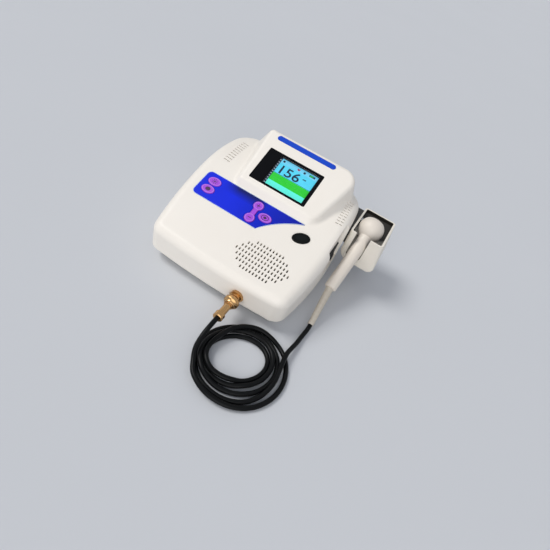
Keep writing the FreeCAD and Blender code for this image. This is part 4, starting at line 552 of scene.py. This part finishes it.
def make_cable(material):
    """The cord as a mesh tube that follows its spline, bent between the casing and the probe."""
    route = cable_route()
    line = spline_mesh("cable_line", route, 0)
    cable = add_object("cable", spline_mesh("cable_tube", route, CABLE_R))
    smooth(cable.data)
    dress(cable.data, material)
    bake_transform(cable)
    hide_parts("cable_lead", "cable_coil", "cable_tail")


# ---- bayonet plug ----
RING_COUNT = 96
KNURLS = 32
KNURL_DEPTH = 0.00022
DISC_SHARES = (0.30, 0.72)                 # the knurled disc, as shares of the ring's length
SLEEVE_R = 0.0056
REAR_SLEEVE_R = 0.0052
REAR_BORE_R = 0.0043
EDGE = 0.0006                              # bevel of the edges, and half of a wall


def turned(name, profile, axis_x, axis_z, material):
    """A body turned about an axis along Y; a row of the profile is a place, a radius and a knurl depth."""
    vertices, faces = [], []
    for y, radius, depth in profile:
        for index in range(RING_COUNT):
            angle = 2 * math.pi * index / RING_COUNT
            reach = radius - depth * (0.5 - 0.5 * math.cos(KNURLS * angle))
            vertices.append((axis_x + reach * math.cos(angle), y, axis_z + reach * math.sin(angle)))
    for row in range(len(profile)):
        here, there = row * RING_COUNT, (row + 1) % len(profile) * RING_COUNT
        for index in range(RING_COUNT):
            after = (index + 1) % RING_COUNT
            faces.append((here + index, here + after, there + after, there + index))
    mesh = new_mesh(name, vertices, faces, material)
    smooth(mesh)
    return mesh


def make_coupling(material):
    """The bayonet ring: a knurled disc behind a plain sleeve, open through its middle."""
    low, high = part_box("plug_coupling_nut")
    outer = (high.x - low.x) / 2
    bore = SLEEVE_R - 2 * EDGE
    step = low.y + 2 * EDGE
    rear, front = [low.y + (high.y - low.y) * share for share in DISC_SHARES]
    profile = [(high.y, SLEEVE_R - EDGE, 0), (high.y - EDGE, SLEEVE_R, 0),
               (front + EDGE / 2, SLEEVE_R, 0), (front, outer - EDGE, 0),
               (front - EDGE, outer, KNURL_DEPTH), (rear + EDGE, outer, KNURL_DEPTH),
               (rear, outer - EDGE, 0), (rear - EDGE / 2, REAR_SLEEVE_R, 0),
               (low.y + EDGE, REAR_SLEEVE_R, 0), (low.y, REAR_SLEEVE_R - EDGE, 0),
               (low.y, REAR_BORE_R, 0), (step, REAR_BORE_R, 0), (step, bore, 0), (high.y, bore, 0)]
    mesh = turned("coupling_ring", profile, (low.x + high.x) / 2, (low.z + high.z) / 2, material)
    ring = add_piece("coupling_ring", mesh, "plug_coupling_nut")
    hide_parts("plug_coupling_nut")
    return ring


# ---- flat shapes on the two planes ----
LIFT = 0.00003                             # between printed layers


def printed(name, outline, plane, height, material, body):
    """A flat face with this outline, at a height over a plane, which rides on a body."""
    points = [plane @ Vector((x, y, height)) for x, y in outline]
    add_piece(name, new_mesh(name, points, [range(len(points))], material), body)


def outline_ring(name, outline, width, plane, height, material, body):
    """A thin line of even width along a closed outline."""
    points = [Vector(point) for point in outline]
    inner, outer = [], []
    for index, point in enumerate(points):
        way = (points[(index + 1) % len(points)] - points[index - 1]).normalized()
        side = Vector((-way.y, way.x)) * width / 2
        inner.append(plane @ Vector((*(point + side), height)))
        outer.append(plane @ Vector((*(point - side), height)))
    add_piece(name, closed_band(name, inner, outer, material), body)


def rectangle(left, bottom, right, top):
    return [(left, bottom), (right, bottom), (right, top), (left, top)]


def oval(x, y, half_width, half_height, count=28, turn=0.0):
    """Points of an ellipse, turned by an angle."""
    points = []
    for index in range(count):
        angle = 2 * math.pi * index / count
        across, up = half_width * math.cos(angle), half_height * math.sin(angle)
        points.append((x + across * math.cos(turn) - up * math.sin(turn),
                       y + across * math.sin(turn) + up * math.cos(turn)))
    return points


# ---- display ----
SCREEN_HEIGHT = -0.00312                   # the display's front, under the face plane
WINDOW_BACK = -0.00135
WELL_HALF_WIDTH = 0.02925
WELL_HALF_HEIGHT = 0.01847
BASE_LAYER = 0
BAR_LAYER = 1
LINE_LAYER = 2
TOP_LAYER = 3

# Places in the picture are shares of the lit area, from its top left corner.
SIDE_BAR = 0.05
TOP_BAR = 0.15
GREEN_BAND = (0.52, 0.78)
FIGURES = (0.15, 0.19, 0.64, 0.485)
FIGURES_WEIGHT = 0.012                     # how much the strokes of the type are thickened
RULES = 3
RULE_START = 0.585
RULE_STEP = 0.065
RULE_HEIGHT = 0.008
TICKS = 11
TICK_SPAN = (0.008, 0.038)
TICK_START = 0.06
TICK_STEP = 0.085
TICK_HEIGHT = 0.030
HEART = (0.50, 0.085)
HEART_SIZE = 0.0017
HEART_POINTS = 32
BAR_SIGNS = {"screen_icon": (0.09, 0.045, 0.14, 0.105), "screen_mark": (0.63, 0.055, 0.68, 0.12),
             "screen_cell": (0.77, 0.045, 0.92, 0.105)}
CELL_CHARGE = (0.785, 0.06, 0.87, 0.09)
UNIT = (0.70, 0.27, 0.78, 0.30)
BAND_LINE = (0.505, 0.515)


def on_screen(across, down):
    """The place on the face plane of a place in the picture."""
    return (LIT_X + (2 * across - 1) * LIT_HALF_WIDTH, WINDOW_UP + (1 - 2 * down) * LIT_HALF_HEIGHT)


def screen_patch(name, left, top, right, bottom, layer, material):
    outline = rectangle(*on_screen(left, bottom), *on_screen(right, top))
    printed(name, outline, FACE, SCREEN_HEIGHT + layer * LIFT, material, "monitor")


def screen_digits(text, left, top, right, bottom, material):
    """Large figures, from the built-in type, stretched to their place."""
    curve = bpy.data.curves.new("figures", "FONT")
    curve.body = text
    curve.size = 1
    curve.offset = FIGURES_WEIGHT
    mesh = mesh_of("figures_type", curve)
    low_x = min(vertex.co.x for vertex in mesh.vertices)
    high_x = max(vertex.co.x for vertex in mesh.vertices)
    low_y = min(vertex.co.y for vertex in mesh.vertices)
    high_y = max(vertex.co.y for vertex in mesh.vertices)
    x, y = on_screen(left, bottom)
    end_x, end_y = on_screen(right, top)
    wide = (end_x - x) / (high_x - low_x)
    tall = (end_y - y) / (high_y - low_y)
    height = SCREEN_HEIGHT + TOP_LAYER * LIFT
    for vertex in mesh.vertices:
        vertex.co = FACE @ Vector((x + (vertex.co.x - low_x) * wide, y + (vertex.co.y - low_y) * tall,
                                   height))
    dress(mesh, material)
    add_piece("screen_figures", mesh, "monitor")


def screen_heart(material):
    """A small heart, by the usual formula for its outline."""
    x, y = on_screen(*HEART)
    outline = []
    for index in range(HEART_POINTS):
        angle = 2 * math.pi * index / HEART_POINTS
        up = (13 * math.cos(angle) - 5 * math.cos(2 * angle) - 2 * math.cos(3 * angle)
              - math.cos(4 * angle)) / 16
        outline.append((x + HEART_SIZE * math.sin(angle) ** 3, y + HEART_SIZE * up))
    printed("screen_heart", outline, FACE, SCREEN_HEIGHT + TOP_LAYER * LIFT, material, "monitor")


def screen_well(material):
    """A black sleeve on the walls of the opening between the window and the display."""
    outline = rectangle(WINDOW_X - WELL_HALF_WIDTH, WINDOW_UP - WELL_HALF_HEIGHT,
                        WINDOW_X + WELL_HALF_WIDTH, WINDOW_UP + WELL_HALF_HEIGHT)
    rear, front = [[FACE @ Vector((x, y, height)) for x, y in outline]
                   for height in (SCREEN_HEIGHT, WINDOW_BACK)]
    add_piece("screen_well", closed_band("screen_well", rear, front, material), "monitor")


def make_screen():
    """The display's picture: bars, a band with rules, a plain number and generic signs."""
    sky = screen_finish("screen_sky", (0.055, 0.42, 0.60), (0.075, 0.50, 0.66), 0.55)
    pale = screen_finish("screen_pale", (0.11, 0.43, 0.62), (0.14, 0.48, 0.66), 0.55)
    green = screen_finish("screen_green", (0.008, 0.42, 0.012), (0.02, 0.48, 0.03), 0.50)
    lines = screen_finish("screen_lines", (0.03, 0.30, 0.05), (0.05, 0.36, 0.08), 0.45)
    aqua = screen_finish("screen_aqua", (0.07, 0.60, 0.50), (0.09, 0.66, 0.55), 0.55)
    ink = screen_finish("screen_ink", (0.006, 0.024, 0.06), (0.010, 0.032, 0.08), 0.02)
    red = screen_finish("screen_red", (0.30, 0.04, 0.12), (0.36, 0.06, 0.14), 0.10)
    tick = screen_finish("screen_tick", (0.42, 0.52, 0.58), (0.50, 0.60, 0.66), 0.30)
    screen_patch("screen_base", 0.0, 0.0, 1.0, 1.0, BASE_LAYER, sky)
    screen_well(ink)
    screen_patch("screen_top", SIDE_BAR, 0.0, 1.0, TOP_BAR, BAR_LAYER, pale)
    screen_patch("screen_band", SIDE_BAR, GREEN_BAND[0], 1.0, GREEN_BAND[1], BAR_LAYER, green)
    screen_patch("screen_foot", SIDE_BAR, GREEN_BAND[1], 1.0, 1.0, BAR_LAYER, aqua)
    screen_patch("screen_side", 0.0, 0.0, SIDE_BAR, 1.0, BAR_LAYER, ink)
    screen_digits("156", *FIGURES, ink)
    for index in range(RULES):
        down = RULE_START + RULE_STEP * index
        screen_patch("screen_rule_%d" % index, SIDE_BAR, down, 1.0, down + RULE_HEIGHT, LINE_LAYER,
                     lines)
    for index in range(TICKS):
        down = TICK_START + TICK_STEP * index
        screen_patch("screen_tick_%d" % index, TICK_SPAN[0], down, TICK_SPAN[1], down + TICK_HEIGHT,
                     LINE_LAYER, tick)
    screen_heart(red)
    for name, span in BAR_SIGNS.items():
        screen_patch(name, *span, LINE_LAYER, ink)
    screen_patch("screen_cell_charge", *CELL_CHARGE, TOP_LAYER, green)
    screen_patch("screen_unit", *UNIT, LINE_LAYER, ink)
    screen_patch("screen_line", SIDE_BAR, BAND_LINE[0], 1.0, BAND_LINE[1], LINE_LAYER, ink)


# ---- keypad ----
OVERLAY_LEFT = -0.0668
OVERLAY_LOW = 0.0496
OVERLAY_TOP = 0.0816
OVERLAY_R = 0.0050
OVERLAY_NOTCH = 0.0074
OVERLAY_MID = (0.0237, 0.0678)
OVERLAY_TIP = (0.0440, 0.0806)
SWEEP_STEPS = 14
CORNER_STEPS = 6
EDGE_INSET = 0.0002
EDGE_WIDTH = 0.0005
EDGE_HEIGHT = 0.00004

REAR_KEY = (-0.0545, 0.0719)
FRONT_KEY = (-0.0549, 0.0609)
RIGHT_KEY = (0.0087, 0.0650)
ROCKER = (-0.0038, 0.0651)
ROCKER_REACH = 0.0081                      # from the rocker's middle to the middle of a lobe
OVAL = (0.0487, 0.0660)
OVAL_TURN = math.radians(27)
KEY_TOP = 0.00074                          # just above the keys' tops, over the deck
OVAL_TOP = 0.00124

RIM_WIDTH = 0.0004
KEY_RIM = (0.0060, 0.0040)
LOBE_RIM_R = 0.0042
SIGN_ARM = 0.0020
SIGN_HALF_WIDTH = 0.00035
RIGHT_RING = (0.0036, 0.0028)
RIGHT_RING_WIDTH = 0.0006
RIGHT_DOT = (0.0017, 0.0014)
FRONT_DOT = (0.0027, 0.0023)
REAR_DOT = (0.0008, 0.0008)
RAYS = 8
RAY_REACH = (0.0014, 0.0031)
RAY_HALF_WIDTH = 0.00022
INLAY = (0.0056, 0.0031)
INLAY_POINTS = 36


def three_point_arc(first, middle, last, count):
    """Points on the circle through three points, the first and last included."""
    (ax, ay), (bx, by), (cx, cy) = first, middle, last
    a, b, c = ax * ax + ay * ay, bx * bx + by * by, cx * cx + cy * cy
    d = 2 * (ax * (by - cy) + bx * (cy - ay) + cx * (ay - by))
    ux = (a * (by - cy) + b * (cy - ay) + c * (ay - by)) / d
    uy = (a * (cx - bx) + b * (ax - cx) + c * (bx - ax)) / d
    radius = math.hypot(ax - ux, ay - uy)
    start = math.atan2(ay - uy, ax - ux)
    end = math.atan2(cy - uy, cx - ux)
    if abs(end - start) > math.pi:
        end += math.copysign(2 * math.pi, start - end)
    angles = [start + (end - start) * index / count for index in range(count + 1)]
    return [(ux + radius * math.cos(angle), uy + radius * math.sin(angle)) for angle in angles]


def overlay_outline(inset):
    """The film's outline, drawn in by an inset: swept up to its tip, with two round corners."""
    left, low, top = OVERLAY_LEFT + inset, OVERLAY_LOW + inset, OVERLAY_TOP - inset
    radius = OVERLAY_R - inset
    middle = (OVERLAY_MID[0] - inset, OVERLAY_MID[1] + inset)
    tip = (OVERLAY_TIP[0] - 2 * inset, OVERLAY_TIP[1] + inset / 2)
    points = three_point_arc((OVERLAY_NOTCH, low), middle, tip, SWEEP_STEPS)
    points.append((tip[0], top))
    for centre_y, first in ((top - radius, math.pi / 2), (low + radius, math.pi)):
        for index in range(CORNER_STEPS + 1):
            angle = first + math.pi / 2 * index / CORNER_STEPS
            points.append((left + radius + radius * math.cos(angle),
                           centre_y + radius * math.sin(angle)))
    return points


def key_sign(name, outline, body, material, height=KEY_TOP):
    """A dark flat sign on a key."""
    printed(name, outline, DECK, height, material, body)


def key_rim(name, outline, body, material):
    """A pale line round a key's top."""
    outline_ring(name, outline, RIM_WIDTH, DECK, KEY_TOP, material, body)


def mark_rocker(mark, rim):
    """A plus on the volume rocker's rear lobe, a minus on the front one and a rim round both."""
    x, middle = ROCKER
    rear, front = middle + ROCKER_REACH, middle - ROCKER_REACH
    bars = [rectangle(x - SIGN_ARM, up - SIGN_HALF_WIDTH, x + SIGN_ARM, up + SIGN_HALF_WIDTH)
            for up in (rear, front)]
    post = rectangle(x - SIGN_HALF_WIDTH, rear - SIGN_ARM, x + SIGN_HALF_WIDTH, rear + SIGN_ARM)
    key_sign("plus_bar", bars[0], "volume_rocker_key", mark)
    key_sign("plus_post", post, "volume_rocker_key", mark, KEY_TOP + LIFT)
    key_sign("minus_bar", bars[1], "volume_rocker_key", mark)
    for name, up in (("lobe_ring_low", front), ("lobe_ring_high", rear)):
        key_rim(name, oval(x, up, LOBE_RIM_R, LOBE_RIM_R), "volume_rocker_key", rim)


def mark_round_keys(mark, rim):
    """A rim round each key; a ring with a dot, a large dot, and a dot with rays."""
    for body, centre in (("rear_left_key", REAR_KEY), ("front_left_key", FRONT_KEY),
                         ("right_key", RIGHT_KEY)):
        key_rim(body + "_rim", oval(*centre, *KEY_RIM), body, rim)
    outline_ring("right_ring", oval(*RIGHT_KEY, *RIGHT_RING), RIGHT_RING_WIDTH, DECK, KEY_TOP, mark,
                 "right_key")
    key_sign("right_dot", oval(*RIGHT_KEY, *RIGHT_DOT), "right_key", mark)
    key_sign("front_dot", oval(*FRONT_KEY, *FRONT_DOT), "front_left_key", mark)
    for index in range(RAYS):
        angle = 2 * math.pi / RAYS * index
        way = Vector((math.cos(angle), math.sin(angle)))
        side = Vector((-way.y, way.x)) * RAY_HALF_WIDTH
        start, end = [Vector(REAR_KEY) + way * reach for reach in RAY_REACH]
        key_sign("rear_ray_%d" % index, [start - side, end - side, end + side, start + side],
                 "rear_left_key", mark)
    key_sign("rear_dot", oval(*REAR_KEY, *REAR_DOT), "rear_left_key", mark)


def make_key_marks():
    """The film's pale edge, the keys' signs and rims, and the oval button's inlay."""
    mark = moulded("mark_dark", (0.035, 0.010, 0.060), (0.045, 0.014, 0.080),
                   roughness=0.4)
    rim = moulded("mark_pale", (0.60, 0.30, 0.86), (0.54, 0.25, 0.80),
                  roughness=0.4)
    pale = moulded("overlay_edge_pale", (0.55, 0.66, 0.86), (0.50, 0.62, 0.84),
                   roughness=0.35)
    shine = moulded("oval_inlay", (0.006, 0.008, 0.008), (0.009, 0.011, 0.011),
                    roughness=0.25, strength=0.02, specular=0.10)
    outline_ring("overlay_edge", overlay_outline(EDGE_INSET), EDGE_WIDTH, DECK, EDGE_HEIGHT, pale,
                 "monitor")
    mark_rocker(mark, rim)
    mark_round_keys(mark, rim)
    key_sign("oval_inlay", oval(*OVAL, *INLAY, INLAY_POINTS, OVAL_TURN), "oval_button", shine,
             OVAL_TOP)


# ---- floor and light ----
FLOOR_REACH = 14.0
FLOOR_DROP = 0.0001
FLOOR_COLOURS = ((0.60, 0.62, 0.65), (0.62, 0.64, 0.67))
ROOM_COLOUR = (0.86, 0.90, 1.0, 1)
ROOM_STRENGTH = 0.40
BACKDROP_COLOUR = (0.53, 0.55, 0.58, 1)
BACKDROP_STRENGTH = 1.0


def make_floor():
    material, nodes, links, shader, place = new_material("pale_floor")
    tone = noise(nodes, links, place, scale=3)
    links.new(blend_colours(nodes, links, tone, *FLOOR_COLOURS), shader.inputs["Base Color"])
    set_gloss(shader, roughness=0.85, specular=PLAIN_SPECULAR)
    corners = rectangle(-FLOOR_REACH, -FLOOR_REACH, FLOOR_REACH, FLOOR_REACH)
    points = [(x, y, -FLOOR_DROP) for x, y in corners]
    floor = add_object("floor", new_mesh("floor", points, [range(4)], material))


def make_world():
    """Soft room light; the camera and reflections see a pale backdrop instead."""
    world = bpy.data.worlds.new("room")
    bpy.context.scene.world = world
    world.use_nodes = True
    nodes = world.node_tree.nodes
    links = world.node_tree.links
    room = nodes["Background"]
    room.inputs["Color"].default_value = ROOM_COLOUR
    room.inputs["Strength"].default_value = ROOM_STRENGTH
    backdrop = nodes.new("ShaderNodeBackground")
    backdrop.inputs["Color"].default_value = BACKDROP_COLOUR
    backdrop.inputs["Strength"].default_value = BACKDROP_STRENGTH
    path = nodes.new("ShaderNodeLightPath")
    seen = path.outputs["Is Camera Ray"]
    for kind in ("Is Glossy Ray", "Is Transmission Ray"):
        seen = number_step(nodes, links, "MAXIMUM", seen, path.outputs[kind])
    mixed = mix_shaders(nodes, links, seen, room.outputs["Background"], backdrop.outputs["Background"])
    links.new(mixed, nodes["World Output"].inputs["Surface"])


def make_sun(name, place, power, spread, colour):
    """A far lamp that shines from a place towards the part."""
    data = bpy.data.lights.new(name, "SUN")
    data.energy = power
    data.angle = math.radians(spread)
    data.color = colour
    lamp = add_object(name, data)
    lamp.location = place
    lamp.rotation_mode = "QUATERNION"
    lamp.rotation_quaternion = (-Vector(place)).to_track_quat("-Z", "Y")


def make_lights():
    """A broad key from the left and above, and a softer fill from the front."""
    make_sun("key_light", place=(-0.62, -0.12, 0.80), power=1.50, spread=24, colour=(1.0, 0.98, 0.95))
    make_sun("front_fill", place=(0.20, -0.85, 0.40), power=1.25, spread=60, colour=(1.0, 0.98, 0.96))


make_camera()
finishes = make_materials()
coupling_ring = make_coupling(finishes["brass"])
make_cable(finishes["cable_black"])
finish_nodes(finishes)
make_screen()
make_key_marks()
make_floor()
make_world()
make_lights()
bpy.context.scene.view_settings.view_transform = "Standard"
